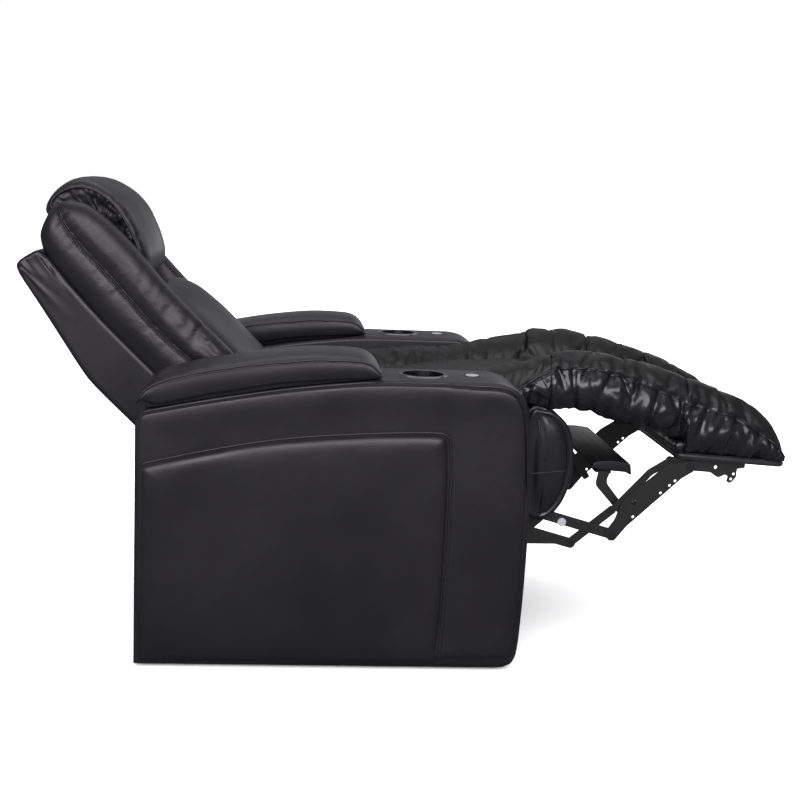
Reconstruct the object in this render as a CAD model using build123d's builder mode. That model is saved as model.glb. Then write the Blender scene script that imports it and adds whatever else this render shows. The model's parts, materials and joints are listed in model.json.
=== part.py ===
from build123d import *
from math import atan2, cos, degrees, hypot, radians, sin
import os

# A single power reclining cinema seat, drawn as it stands fully reclined with its footrest out.
# Millimetres. +X is the way the occupant faces, +Y the occupant's left, +Z up. The origin lies on
# the floor under the middle of the reclined length.
#
# Side profiles are drawn in X and Z on planes of constant Y. The backrest is drawn in its own
# reclined plane: "d" runs forward out of the back, "s" runs up along it from the back pivot.

os.makedirs("parts", exist_ok=True)

# ---------------------------------------------------------------- driving dimensions
# overall layout
arm_inner_y = 285.0         # inner face of each arm; every width between the arms follows it
arm_width = 190.0
arm_rear_x = -582.0
arm_front_x = 235.0
arm_foot_x = 192.0          # front lower corner, drawn back under the bulge
deck_z = 621.0              # top of the arm beside the cup holder
deck_rear_z = 543.0
deck_knee_x = -290.0        # the deck rises to here, then levels out
deck_knee_z = 597.0
deck_level_x = -90.0
foot_height = 6.0           # glides under the arms
arm_wall = 24.0             # plywood, foam and leather together
running_gap = 0.5           # between flat plates that turn on each other
soft_gap = 0.4              # between a soft pad and what lies beside it

# arm fittings
cup_x = 10.0
cup_radius = 43.0
cup_rim_radius = 54.0
cup_depth = 82.0
cup_wall = 1.6
button_x = 115.0
button_radius = 14.0
bezel_radius = 18.0
button_travel = 1.6
lid_rear_x = -579.0
lid_front_x = -82.0
lid_board_thick = 15.0
lid_open_gap = 3.0          # dark line left between the lid and the arm
tub_length = 330.0
tub_width = 116.0
tub_depth = 150.0
tub_wall = 3.0

# seat
seat_rear_x = -215.0
seat_half_width = arm_inner_y - 17.0
knee_x = 320.0              # end of the seat cushion, start of the calf section
calf_seam_x = 485.0
foot_seam_x = 635.0
rail_rear_x = -250.0
rail_front_x = 250.0
rail_thick = 24.0
rail_low_z = 330.0
rail_high_z = 440.0
webbing_thick = 2.5
cushion_low_z = rail_high_z + webbing_thick

# backrest, in d and s
pivot_x = -320.0
pivot_z = 450.0
recline_angle = 45.8        # wing front from the vertical, fully reclined
back_half_width = arm_inner_y - 19.0
wing_inner_y = back_half_width - 62.0
wing_front_d = 94.0
wing_top_s = 674.0

# footrest linkage, X and Z of the pivots with the footrest out
seat_pin = (302.0, 291.7)
cross_pin = (421.8, 258.8)
knuckle_pin = (472.8, 244.9)
crank_end_pin = (378.7, 221.6)
fork_pin = (471.7, 301.0)
bracket_pin = (645.5, 407.9)
heel_pin = (598.6, 420.9)
hanger_pin = (511.2, 277.0)  # where the hanger of the middle board is riveted to the main link
shaft_pin = (seat_pin[0] - cross_pin[0] + crank_end_pin[0],
             seat_pin[1] - cross_pin[1] + crank_end_pin[1])
shaft_radius = 9.0
crank_tip = (shaft_pin[0] - 32.9, shaft_pin[1] + 37.2)
tube_x, tube_radius = crank_tip[0], 9.0
yoke_low, yoke_high = 285.0, 315.0
yoke_play = 1.5             # the tube runs on an arc, the nut on a line
rail_axis_z = 180.0         # actuator rail and lead screw
screw_radius = 6.0
nut_x = 40.0
back_pin = 8.0
plate_thick = 3.5
link_outer_y = arm_inner_y - 34.5    # outer face of the outermost link plate
pin_radius = 6.0
pin_play = 0.06
open_play = 0.35            # at the pivots where the closed chain is left open

# footrest
board_rear_x = 608.0
board_front_x = 861.0
board_rear_z = 443.0        # top face
board_front_z = 428.0
board_thick = 14.0
board_half_width = link_outer_y + 7.5


def side_plane(y):
    """Profile plane at a given y, drawn in X and Z. An extrusion from it runs towards -Y."""
    return Plane.XZ.offset(-y)


sin_r, cos_r = sin(radians(recline_angle)), cos(radians(recline_angle))


def back_plane(y):
    """Plane of the reclined back at a given y. Local x is d, local y is s."""
    return Plane(origin=(pivot_x, y, pivot_z), x_dir=(cos_r, 0, sin_r), z_dir=(0, -1, 0))


def layer(index):
    """Outer face |y| of a link plate layer, counted inwards from the outermost."""
    return link_outer_y - index * (plate_thick + running_gap)


def plate_start(side, outer):
    """The y at which a plate of one side starts, for an extrusion towards -Y."""
    return outer if side > 0 else -outer + plate_thick


def rounded(points):
    """Filled outline in the active sketch from (x, z, corner radius) points."""
    Polygon(*[(x, z) for x, z, _ in points], align=None)
    for x, z, radius in points:
        if radius:
            fillet(vertices().sort_by_distance((x, z))[0], radius)


def save(part, label):
    part.label = label
    export_step(part, f"parts/{label}.step")


SIDES = (("left", 1), ("right", -1))


def bar(a, b, width):
    """Straight link bar with round ends between two pivots, in the active sketch."""
    mid = ((a[0] + b[0]) / 2, (a[1] + b[1]) / 2)
    with Locations(mid):
        SlotCenterToCenter(hypot(b[0] - a[0], b[1] - a[1]), width,
                           rotation=degrees(atan2(b[1] - a[1], b[0] - a[0])))


def rod(x, z, radius, y_a, y_b):
    """Round rod along Y between two values of y, added to the active part."""
    with Locations(Location((x, (y_a + y_b) / 2, z), (90, 0, 0))):
        Cylinder(radius, abs(y_a - y_b))


def pin(x, z, y_outer, y_inner, side, head_outer=0.0, head_inner=0.0):
    """Rivet along Y: shank and optional low heads."""
    rod(x, z, pin_radius, side * y_outer, side * y_inner)
    if head_outer:
        rod(x, z, pin_radius + 3, side * y_outer, side * (y_outer + head_outer))
    if head_inner:
        rod(x, z, pin_radius + 3, side * y_inner, side * (y_inner - head_inner))


# ---------------------------------------------------------------- arms
arm_mid_y = arm_inner_y + arm_width / 2
inset_depth = 5.0
arm_points = (
    (arm_rear_x, foot_height, 0),
    (arm_rear_x, deck_rear_z, 24),
    (deck_knee_x, deck_knee_z, 300),
    (deck_level_x, deck_z, 300),
    (205, deck_z, 62),
    (arm_front_x + 5, 350, 500),
    (arm_front_x - 9, foot_height, 38),
)
inset_points = (
    (arm_rear_x + 12, foot_height + 10, 0),
    (arm_rear_x + 12, 430, 8),
    (-290, 497, 700),
    (59, 513, 16),
    (66, 300, 900),
    (56, foot_height + 10, 0),
)


def deck_height(x):
    """Top of the arm at a given x, ahead of its rear edge."""
    if x < deck_knee_x:
        share = (x - arm_rear_x) / (deck_knee_x - arm_rear_x)
        return deck_rear_z + share * (deck_knee_z - deck_rear_z)
    share = min(1.0, (x - deck_knee_x) / (deck_level_x - deck_knee_x))
    return deck_knee_z + share * (deck_z - deck_knee_z)


lid_inner_y = arm_inner_y + 4.0
lid_outer_y = arm_inner_y + arm_width - 2.0
lid_hinge_x = arm_rear_x + 16.0
lid_hinge_z = deck_height(lid_hinge_x) + 10.0
hinge_radius = 4.5
hinge_pin = 2.2
hinge_half = 20.0           # half length of the middle knuckle
lid_board_rear_x = arm_rear_x + 25.0
tub_mid_x = -265.0
tub_top_z = deck_height(tub_mid_x - tub_length / 2) - 3.0


def arm_body(side):
    outer_y = arm_inner_y + arm_width
    high = outer_y if side > 0 else -arm_inner_y
    with BuildPart() as arm:
        with BuildSketch(side_plane(high)):
            rounded(arm_points)
        extrude(amount=arm_width)
        chamfer(arm.faces().filter_by(Axis.Y).edges().filter_by(lambda e: e.center().Z > 20), 6)
        # hollow inside, open below
        with BuildSketch(side_plane(high - arm_wall)):
            rounded(arm_points)
            offset(amount=-arm_wall)
            with Locations(((arm_rear_x + arm_wall + arm_foot_x - 4) / 2, foot_height + arm_wall / 2)):
                Rectangle(arm_foot_x - 4 - arm_rear_x - arm_wall, arm_wall + 1)
        extrude(amount=arm_width - 2 * arm_wall, mode=Mode.SUBTRACT)
        # openings in the deck: storage tub, cup holder and control
        with BuildSketch(Plane.XY.offset(tub_top_z - tub_depth)):
            with Locations((tub_mid_x, side * arm_mid_y)):
                RectangleRounded(tub_length, tub_width, 16)
        extrude(amount=tub_depth + 120, mode=Mode.SUBTRACT)
        with BuildSketch(Plane.XY.offset(deck_z - 60)):
            with Locations((cup_x, side * arm_mid_y)):
                Circle(cup_radius + cup_wall + 0.3)
            with Locations((button_x, side * arm_mid_y)):
                Circle(bezel_radius - 3)
        extrude(amount=100, mode=Mode.SUBTRACT)
        # notches for the feet of the lid hinge
        for end in (-1, 1):
            with BuildSketch(Plane.XY.offset(lid_hinge_z - 18)):
                with Locations((lid_hinge_x, side * arm_mid_y + end * (hinge_half + 10.5))):
                    Rectangle(2 * hinge_radius, 20)
            extrude(amount=60, mode=Mode.SUBTRACT)
        # shallow recess for the sewn side panel
        with BuildSketch(side_plane(outer_y if side > 0 else -outer_y + inset_depth)):
            rounded(inset_points)
        extrude(amount=inset_depth, mode=Mode.SUBTRACT)
    return arm.part


def arm_inset(side):
    outer_y = arm_inner_y + arm_width
    crown = 3.5
    with BuildPart() as panel:
        with BuildSketch(side_plane(outer_y + crown if side > 0 else -outer_y + inset_depth)):
            rounded(inset_points)
            offset(amount=-1.2)
        extrude(amount=inset_depth + crown)
        face = panel.faces().sort_by(Axis.Y)[-1 if side > 0 else 0]
        chamfer(face.edges(), crown - 0.5)
    return panel.part


def cup_holders():
    """Two turned cups with flat rolled rims."""
    low, rim = deck_z - cup_depth, deck_z + 0.2
    with BuildPart() as cup:
        with BuildSketch(Plane.XZ):
            with BuildLine():
                Polyline((0, low), (cup_radius, low), (cup_radius + cup_wall, rim),
                         (cup_rim_radius, rim), (cup_rim_radius - 3, rim + 3.2),
                         (cup_radius + 1, rim + 3.2), (cup_radius - cup_wall, low + cup_wall),
                         (0, low + cup_wall), close=True)
            make_face()
        revolve(axis=Axis.Z)
    with BuildPart() as cups:
        with Locations((cup_x, arm_mid_y, 0), (cup_x, -arm_mid_y, 0)):
            add(cup.part)
    return cups.part


def storage_tubs():
    """Moulded tubs of the storage wells, open on top."""
    with BuildPart() as tubs:
        for _, side in SIDES:
            with BuildSketch(Plane.XY.offset(tub_top_z - tub_depth)):
                with Locations((tub_mid_x, side * arm_mid_y)):
                    RectangleRounded(tub_length - 1, tub_width - 1, 15)
            extrude(amount=tub_depth)
            with BuildSketch(Plane.XY.offset(tub_top_z - tub_depth + tub_wall)):
                with Locations((tub_mid_x, side * arm_mid_y)):
                    RectangleRounded(tub_length - 1 - 2 * tub_wall, tub_width - 1 - 2 * tub_wall, 12)
            extrude(amount=tub_depth, mode=Mode.SUBTRACT)
    return tubs.part


def arm_base_boards():
    board = 12.0
    rear, front = arm_rear_x + arm_wall, arm_foot_x - 4
    with BuildPart() as boards:
        with BuildSketch(Plane.XY.offset(foot_height)):
            for _, side in SIDES:
                with Locations(((rear + front) / 2, side * arm_mid_y)):
                    Rectangle(front - rear, arm_width - 2 * arm_wall)
        extrude(amount=board)
    return boards.part


def glides():
    """Eight round glides, four under each arm."""
    with BuildPart() as feet:
        with BuildSketch():
            for _, side in SIDES:
                for x in (arm_rear_x + 60, arm_rear_x + 290, arm_foot_x - 290, arm_foot_x - 70):
                    with Locations((x, side * arm_mid_y)):
                        Circle(22)
        extrude(amount=foot_height)
    return feet.part


def button_bezels():
    with BuildPart() as bezels:
        with BuildSketch(Plane.XY.offset(deck_z)):
            for _, side in SIDES:
                with Locations((button_x, side * arm_mid_y)):
                    Circle(bezel_radius)
                    Circle(button_radius + 0.4, mode=Mode.SUBTRACT)
        extrude(amount=2.4)
        with BuildSketch(Plane.XY.offset(deck_z - 16)):
            for _, side in SIDES:
                with Locations((button_x, side * arm_mid_y)):
                    Circle(bezel_radius - 3.2)
                    Circle(button_radius - 1.6, mode=Mode.SUBTRACT)
        extrude(amount=16)
    return bezels.part


def button(side):
    with BuildPart() as key:
        with BuildSketch(Plane.XY.offset(deck_z + 0.2 + button_travel)):
            with Locations((button_x, side * arm_mid_y)):
                Circle(button_radius)
        extrude(amount=2.2)
        with BuildSketch(Plane.XY.offset(deck_z - 12)):
            with Locations((button_x, side * arm_mid_y)):
                Circle(button_radius - 2.2)
        extrude(amount=12.2 + button_travel)
        chamfer(key.faces().sort_by(Axis.Z)[-1].edges(), 0.6)
    return key.part


# ---------------------------------------------------------------- arm lids
def lid_board(side):
    """Bent plywood board of the lid with the middle knuckle of its hinge."""
    inset = 7.0
    xs = (lid_board_rear_x, deck_knee_x, lid_front_x - 8)
    low = [(x, deck_height(x) + lid_open_gap) for x in xs]
    top = [(x, deck_height(x) + lid_open_gap + lid_board_thick) for x in reversed(xs)]
    inner, outer = lid_inner_y + inset, lid_outer_y - inset
    with BuildPart() as board:
        with BuildSketch(side_plane(outer if side > 0 else -inner)):
            with BuildLine():
                Polyline(*low, *top, close=True)
            make_face()
        extrude(amount=outer - inner)
        with BuildSketch(side_plane(side * arm_mid_y + hinge_half)):
            with Locations((lid_hinge_x, lid_hinge_z)):
                Circle(hinge_radius)
            with Locations(((lid_hinge_x + lid_board_rear_x + 1) / 2, lid_hinge_z + 1)):
                Rectangle(lid_board_rear_x + 1 - lid_hinge_x, 7)
        extrude(amount=2 * hinge_half)
        with BuildSketch(side_plane(side * arm_mid_y + hinge_half)):
            with Locations((lid_hinge_x, lid_hinge_z)):
                Circle(hinge_pin + pin_play)
        extrude(amount=2 * hinge_half, mode=Mode.SUBTRACT)
    return board.part


def lid_hinges():
    """Outer knuckles of both lid hinges, each pair on a foot let into the arm, with its pin."""
    with BuildPart() as hinges:
        for _, side in SIDES:
            for end in (-1, 1):
                start = side * arm_mid_y + end * (hinge_half + 10.5)
                with BuildSketch(side_plane(start + 10)):
                    with Locations((lid_hinge_x, lid_hinge_z)):
                        Circle(hinge_radius)
                    with Locations((lid_hinge_x, lid_hinge_z - 9)):
                        Rectangle(2 * hinge_radius, 18)
                extrude(amount=20)
            with BuildSketch(side_plane(side * arm_mid_y + hinge_half + 15)):
                with Locations((lid_hinge_x, lid_hinge_z)):
                    Circle(hinge_pin)
            extrude(amount=2 * hinge_half + 30)
    return hinges.part


lid_pad_points = (
    (lid_rear_x, 566, 0),
    (lid_rear_x + 2, 590, 8),
    (-555, 612, 12),
    (-473, 646, 60),
    (-373, 669, 120),
    (-231, 687, 200),
    (-140, 687, 30),
    (-96, 664, 24),
    (lid_front_x, 640, 3),
)


def lid_pad(side):
    """Foam pad of the lid: flat under its board line, crowned above, drawn in at both sides."""
    inner, outer = lid_inner_y, lid_outer_y
    xs = (lid_front_x, deck_level_x, deck_knee_x, lid_board_rear_x)
    rise = lid_open_gap + lid_board_thick
    under = [(x, deck_height(x) + rise, 0) for x in xs]
    middle = (inner + outer) / 2
    half = (outer - inner) / 2

    def section(share):
        # height above the board at each point, scaled from piping height to full crown
        points = []
        for x, z, radius in lid_pad_points:
            floor = deck_height(max(x, arm_rear_x)) + rise
            points.append((x, floor + (z - floor) * share, radius))
        return points + under

    with BuildPart() as pad:
        for part, share in ((-1.0, 0.42), (-0.94, 0.66), (-0.78, 0.88), (-0.4, 0.99),
                            (0.4, 0.99), (0.78, 0.88), (0.94, 0.66), (1.0, 0.42)):
            with BuildSketch(side_plane(side * middle + part * half)):
                with BuildLine():
                    Polyline(*[(x, z) for x, z, _ in section(share)], close=True)
                make_face()
        loft(ruled=True)
    return pad.part


# ---------------------------------------------------------------- base between the arms
base_rail_outer = link_outer_y - 16.5
base_rail_inner = base_rail_outer - 28.0
base_rail_low, base_rail_high = 60.0, 98.0
base_rail_rear, base_rail_front = -540.0, 80.0


def base_rails():
    with BuildPart() as rails:
        with BuildSketch(Plane.XY.offset(base_rail_low)):
            for _, side in SIDES:
                with Locations(((base_rail_rear + base_rail_front) / 2,
                                side * (base_rail_inner + base_rail_outer) / 2)):
                    Rectangle(base_rail_front - base_rail_rear, base_rail_outer - base_rail_inner)
        extrude(amount=base_rail_high - base_rail_low)
    return rails.part


def base_crossbars():
    bar_height, bar_width = 30.0, 44.0
    with BuildPart() as bars:
        with BuildSketch(Plane.XY.offset(base_rail_low - bar_height)):
            for x in (base_rail_rear + 30, base_rail_front - 30):
                with Locations((x, 0)):
                    Rectangle(bar_width, 2 * arm_inner_y)
        extrude(amount=bar_height)
    return bars.part


# ---------------------------------------------------------------- seat box
rail_inner_y = link_outer_y - 0.5
rail_outer_y = rail_inner_y + rail_thick


def seat_side_rails():
    with BuildPart() as rails:
        with BuildSketch(Plane.XY.offset(rail_low_z)):
            for _, side in SIDES:
                with Locations(((rail_rear_x + rail_front_x) / 2,
                                side * (rail_inner_y + rail_outer_y) / 2)):
                    Rectangle(rail_front_x - rail_rear_x, rail_outer_y - rail_inner_y)
        extrude(amount=rail_high_z - rail_low_z)
    return rails.part


def seat_end_rails():
    with BuildPart() as rails:
        with BuildSketch(Plane.XY.offset(rail_low_z + 12)):
            for x in (rail_rear_x + rail_thick / 2, rail_front_x - rail_thick / 2):
                with Locations((x, 0)):
                    Rectangle(rail_thick, 2 * rail_inner_y)
        extrude(amount=rail_high_z - rail_low_z - 12)
    return rails.part


def seat_webbing():
    """Sinuous springs between the end rails, each a flat zigzag strip, with a top cloth."""
    spring_pitch, spring_width = 80.0, 52.0
    with BuildPart() as springs:
        with BuildSketch(Plane.XY.offset(rail_high_z)):
            Rectangle(rail_front_x - rail_rear_x, 2 * rail_outer_y)
        extrude(amount=webbing_thick)
        with BuildSketch(Plane.XY.offset(rail_high_z - 8)):
            with GridLocations(0, spring_pitch, 1, 6):
                Rectangle(rail_front_x - rail_rear_x - 2 * rail_thick, spring_width)
        extrude(amount=8)
    return springs.part


def mech_plate(side):
    """Ground plate of the linkage, with a flange under the seat rail and the pivot nose."""
    outer = layer(2)
    bottom = base_rail_high + 6
    with BuildPart() as plate:
        with BuildSketch(side_plane(plate_start(side, outer))):
            rounded(((-290, bottom, 10), (205, bottom, 30), (212, 224, 14), (268, 232, 16),
                     (322, 282, 16), (318, 310, 14), (262, rail_low_z, 10), (-250, rail_low_z, 0),
                     (-290, 300, 10)))
            for x, hole in ((seat_pin[0], pin_radius), (shaft_pin[0], shaft_radius + pin_play)):
                z = seat_pin[1] if x == seat_pin[0] else shaft_pin[1]
                with Locations((x, z)):
                    Circle(hole, mode=Mode.SUBTRACT)
            for x in (-160, 60):
                with Locations((x, 215)):
                    SlotOverall(120, 30, mode=Mode.SUBTRACT)
        extrude(amount=plate_thick)
        # flange under the side rail
        with BuildSketch(Plane.XY.offset(rail_low_z - plate_thick)):
            flange_outer = rail_outer_y - 4
            with Locations((-25, side * (outer + flange_outer) / 2)):
                Rectangle(450, flange_outer - outer)
        extrude(amount=plate_thick)
    return plate.part


def slide_runners():
    """Channels that ride over the base rails, riveted to the foot of each ground plate."""
    clear, wall = 0.5, 4.0
    top = base_rail_high + clear
    low = base_rail_low + 14
    with BuildPart() as runners:
        with BuildSketch(Plane.YZ.offset(-290)):
            for _, side in SIDES:
                mid = side * (base_rail_inner + base_rail_outer) / 2
                half = (base_rail_outer - base_rail_inner) / 2 + clear + wall
                with Locations((mid, (low + top + 5.5) / 2)):
                    Rectangle(2 * half, top + 5.5 - low)
                with Locations((mid, (low + top) / 2)):
                    Rectangle(2 * (half - wall), top - low, mode=Mode.SUBTRACT)
        extrude(amount=340)
    return runners.part


def back_hinge_plates():
    """Plates on the outer faces of the seat rails that carry the back pivots."""
    outer = rail_outer_y + plate_thick
    with BuildPart() as plates:
        for _, side in SIDES:
            with BuildSketch(side_plane(plate_start(side, outer))):
                rounded(((-130, 345, 8), (-130, 400, 8), (pivot_x - 6, pivot_z + 19, 18),
                         (pivot_x - 24, pivot_z - 6, 16), (-250, 345, 8)))
                with Locations((pivot_x, pivot_z)):
                    Circle(back_pin + pin_play, mode=Mode.SUBTRACT)
            extrude(amount=plate_thick)
    return plates.part


def drive_motor():
    """Gearmotor: round motor can, gearbox and the clamp to the actuator rail."""
    axis_z = rail_axis_z
    with BuildPart() as motor:
        with BuildSketch(Plane.YZ.offset(-262)):
            with Locations((0, axis_z)):
                RectangleRounded(74, 62, 10)
        extrude(amount=72)
        with BuildSketch(Plane.XZ.offset(-140)):
            with Locations((-226, axis_z)):
                Circle(28)
        extrude(amount=110)
        # bracket up to the rear seat rail
        with BuildSketch(Plane.YZ.offset(rail_rear_x)):
            with Locations((0, (axis_z + 30 + rail_low_z + 40) / 2)):
                Rectangle(50, rail_low_z + 40 - axis_z - 30)
        extrude(amount=-5)
    return motor.part


def actuator_rail():
    """Extruded C rail of the actuator, open on top, with the lead screw inside."""
    with BuildPart() as rail:
        with BuildSketch(Plane.YZ.offset(-190)):
            with Locations((0, rail_axis_z)):
                Rectangle(44, 34)
            with Locations((0, rail_axis_z + 4)):
                Rectangle(36, 30, mode=Mode.SUBTRACT)
        extrude(amount=350)
        with BuildSketch(Plane.YZ.offset(-190)):
            with Locations((0, rail_axis_z)):
                Circle(screw_radius)
        extrude(amount=350)
        with BuildSketch(Plane.YZ.offset(156)):
            with Locations((0, rail_axis_z)):
                Rectangle(44, 34)
        extrude(amount=4)
    return rail.part


def actuator_nut():
    """Nut block on the screw with two fingers that straddle the drive tube."""
    with BuildPart() as nut:
        with BuildSketch(Plane.YZ.offset(nut_x)):
            with Locations((0, rail_axis_z + 1)):
                Rectangle(34, 22)
            with Locations((0, rail_axis_z)):
                Circle(screw_radius + pin_play, mode=Mode.SUBTRACT)
        extrude(amount=40)
        # column and arm reaching forward over the folded middle board to the yoke
        arm_low, arm_high, half = 302.0, 328.0, 15.0
        with BuildSketch(side_plane(12)):
            with BuildLine():
                Polyline((nut_x, rail_axis_z + 12), (nut_x + 40, rail_axis_z + 12),
                         (nut_x + 40, arm_low), (tube_x - half, arm_low),
                         (tube_x - half, yoke_low), (tube_x + half, yoke_low),
                         (tube_x + half, arm_high), (nut_x, arm_high), close=True)
            make_face()
            with Locations((tube_x, (yoke_low + yoke_high) / 2)):
                Rectangle(2 * (tube_radius + yoke_play), yoke_high - yoke_low + 1, mode=Mode.SUBTRACT)
        extrude(amount=24)
    return nut.part


# ---------------------------------------------------------------- footrest linkage
def along(a, b, t, w):
    """Point t along the line from a to b and w square to it, to the upper left."""
    length = hypot(b[0] - a[0], b[1] - a[1])
    ux, uz = (b[0] - a[0]) / length, (b[1] - a[1]) / length
    return (a[0] + ux * t - uz * w, a[1] + uz * t + ux * w)


def drill(*holes):
    """Holes (x, z, radius) in the active sketch."""
    for x, z, radius in holes:
        with Locations((x, z)):
            Circle(radius, mode=Mode.SUBTRACT)


def lower_links():
    with BuildPart() as links:
        for _, side in SIDES:
            with BuildSketch(side_plane(plate_start(side, layer(1)))):
                bar(seat_pin, knuckle_pin, 24)
                drill((*seat_pin, pin_radius + pin_play), (*cross_pin, pin_radius),
                      (*knuckle_pin, pin_radius), (*along(seat_pin, knuckle_pin, 92, 3), 4))
            extrude(amount=plate_thick)
    return links.part


def lower_pins():
    with BuildPart() as pins:
        for _, side in SIDES:
            pin(*cross_pin, layer(1), layer(2) - plate_thick, side, head_inner=2)
            pin(*knuckle_pin, layer(0), layer(1) - plate_thick, side, head_outer=2, head_inner=2)
    return pins.part


def cross_links():
    with BuildPart() as links:
        for _, side in SIDES:
            with BuildSketch(side_plane(plate_start(side, layer(2)))):
                bar(crank_end_pin, fork_pin, 20)
                drill((*crank_end_pin, pin_radius), (*fork_pin, pin_radius),
                      (*cross_pin, pin_radius + pin_play))
            extrude(amount=plate_thick)
    return links.part


def cross_pins():
    with BuildPart() as pins:
        for _, side in SIDES:
            for x, z in (crank_end_pin, fork_pin):
                pin(x, z, layer(1), layer(2) - plate_thick, side, head_inner=2)
    return pins.part


crank_outer = layer(2) - plate_thick - 4.5


def crank_links():
    """Crank links outside the ground plates, each on a short shaft with its drive arm inside."""
    with BuildPart() as cranks:
        for _, side in SIDES:
            with BuildSketch(side_plane(plate_start(side, layer(1)))):
                bar(shaft_pin, crank_end_pin, 23)
                with BuildLine():
                    Polyline(along(shaft_pin, crank_end_pin, -6, -26),
                             along(shaft_pin, crank_end_pin, 26, -30),
                             along(shaft_pin, crank_end_pin, 96, -10),
                             along(shaft_pin, crank_end_pin, 60, 0),
                             along(shaft_pin, crank_end_pin, -6, 0), close=True)
                make_face()
                drill((*crank_end_pin, pin_radius + open_play))
            extrude(amount=plate_thick)
            rod(*shaft_pin, shaft_radius, side * layer(1), side * crank_outer)
            with BuildSketch(side_plane(plate_start(side, crank_outer))):
                bar(shaft_pin, crank_tip, 26)
            extrude(amount=plate_thick)
    return cranks.part


def drive_tube():
    half = crank_outer - plate_thick
    with BuildPart() as tube:
        with BuildSketch(side_plane(half)):
            with Locations(crank_tip):
                Circle(tube_radius)
                Circle(tube_radius - 2, mode=Mode.SUBTRACT)
        extrude(amount=2 * half)
    return tube.part


def main_link(side):
    """Wide outer link with lightening hole and adjustment holes along its lower edge."""
    a, b = knuckle_pin, bracket_pin
    outline = ((-14, -6, 6), (-6, -15, 8), (40, -8, 20), (205, -7, 20), (236, -13, 10), (250, -4, 8),
               (250, 8, 8), (232, 18, 12), (206, 40, 8), (70, 44, 18), (26, 22, 20), (-6, 15, 8),
               (-14, 6, 6))
    with BuildPart() as link:
        with BuildSketch(side_plane(plate_start(side, layer(0)))):
            rounded([(*along(a, b, t, w), r) for t, w, r in outline])
            drill((*knuckle_pin, pin_radius + pin_play), (*bracket_pin, pin_radius),
                  (*hanger_pin, pin_radius - 1), (519.8, 287.8, 3.2), (580.2, 345.3, 3.2),
                  (599.8, 363.4, 3.2), (611.9, 374.3, 3.2), (518, 321.5, 6.5))
        extrude(amount=plate_thick)
    return link.part


hanger_outer = link_outer_y - 21.0


def main_pins():
    with BuildPart() as pins:
        for _, side in SIDES:
            pin(*bracket_pin, layer(0), layer(2) - plate_thick, side, head_outer=2, head_inner=2)
            rod(*hanger_pin, pin_radius - 1, side * layer(0), side * (hanger_outer - plate_thick))
    return pins.part


def mid_hangers():
    """Cranked hangers inside the linkage that carry the middle board."""
    with BuildPart() as hangers:
        for _, side in SIDES:
            with BuildSketch(side_plane(plate_start(side, hanger_outer))):
                rounded(((*along(hanger_pin, (484, 318), -11, 9), 6),
                         (*along(hanger_pin, (484, 318), -11, -9), 6),
                         (494, 318, 20), (456, 364, 20), (466, 388, 0), (438, 389, 0),
                         (432, 356, 20), (474, 310, 20)))
                drill((*hanger_pin, pin_radius - 1))
            extrude(amount=plate_thick)
            inner, outer = hanger_outer - 34.5, hanger_outer
            with BuildSketch(side_plane(outer if side > 0 else -inner)):
                with BuildLine():
                    Polyline((430, 389.2), (468, 387.5), (468, 384.0), (430, 385.7), close=True)
                make_face()
            extrude(amount=outer - inner)
    return hangers.part


def mid_board():
    """Small padded board between seat and footrest, on the flanges of the hangers."""
    half = hanger_outer - plate_thick - 2.0
    with BuildPart() as board:
        with BuildSketch(side_plane(half)):
            rounded(((424, 389.6, 3), (424, 409, 6), (470, 412.5, 60), (513, 406, 7),
                     (517, 380, 3), (510, 380, 3), (506, 386, 4)))
        extrude(amount=2 * half)
        chamfer(board.faces().filter_by(Axis.Y).edges().filter_by(lambda e: e.center().Z > 408), 3)
    return board.part


def inner_links():
    bend = along(fork_pin, heel_pin, 122, 10)
    with BuildPart() as links:
        for _, side in SIDES:
            with BuildSketch(side_plane(plate_start(side, layer(1)))):
                bar(fork_pin, bend, 16)
                bar(bend, heel_pin, 16)
                drill((*fork_pin, pin_radius + pin_play), (*heel_pin, pin_radius + open_play))
            extrude(amount=plate_thick)
    return links.part


def foot_bracket(side):
    """Bracket under the footrest board, with its mounting flange and the hooked stop lobe."""
    inner_edge = layer(2) - 37.5
    top = board_under(board_rear_x + 4)
    with BuildPart() as bracket:
        with BuildSketch(side_plane(plate_start(side, layer(2)))):
            rounded(((586, 414, 6), (594, 430, 6), (612, top, 2), (775, board_under(775), 2),
                     (775, 407, 2), (757, 404, 3), (756, 384, 8), (744, 370, 8), (733, 373, 5),
                     (738, 386, 5), (729, 390, 4), (714, 382, 12), (694, 395, 12), (656, 397, 8),
                     (632, 399, 10), (606, 408, 10)))
            drill((*bracket_pin, pin_radius + pin_play), (*heel_pin, pin_radius),
                  (706.5, 407, 4), (744.5, 380, 3.2), (750, 392, 3.2))
        extrude(amount=plate_thick)
        # flange below the board
        with BuildSketch(side_plane(layer(2) if side > 0 else -inner_edge)):
            with BuildLine():
                Polyline((640, board_under(640)), (775, board_under(775)),
                         (775, board_under(775) - plate_thick),
                         (640, board_under(640) - plate_thick), close=True)
            make_face()
        extrude(amount=layer(2) - inner_edge)
    return bracket.part


def foot_pins():
    with BuildPart() as pins:
        for _, side in SIDES:
            pin(*heel_pin, layer(1), layer(2) - plate_thick, side, head_inner=2)
    return pins.part


def seat_pivot_pins():
    with BuildPart() as pins:
        for _, side in SIDES:
            pin(*seat_pin, layer(1), layer(2) - plate_thick, side, head_inner=2)
    return pins.part


# ---------------------------------------------------------------- footrest board and pads
def board_top(x):
    slope = (board_front_z - board_rear_z) / (board_front_x - board_rear_x)
    return board_rear_z + slope * (x - board_rear_x)


def board_under(x):
    return board_top(x) - board_thick


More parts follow.
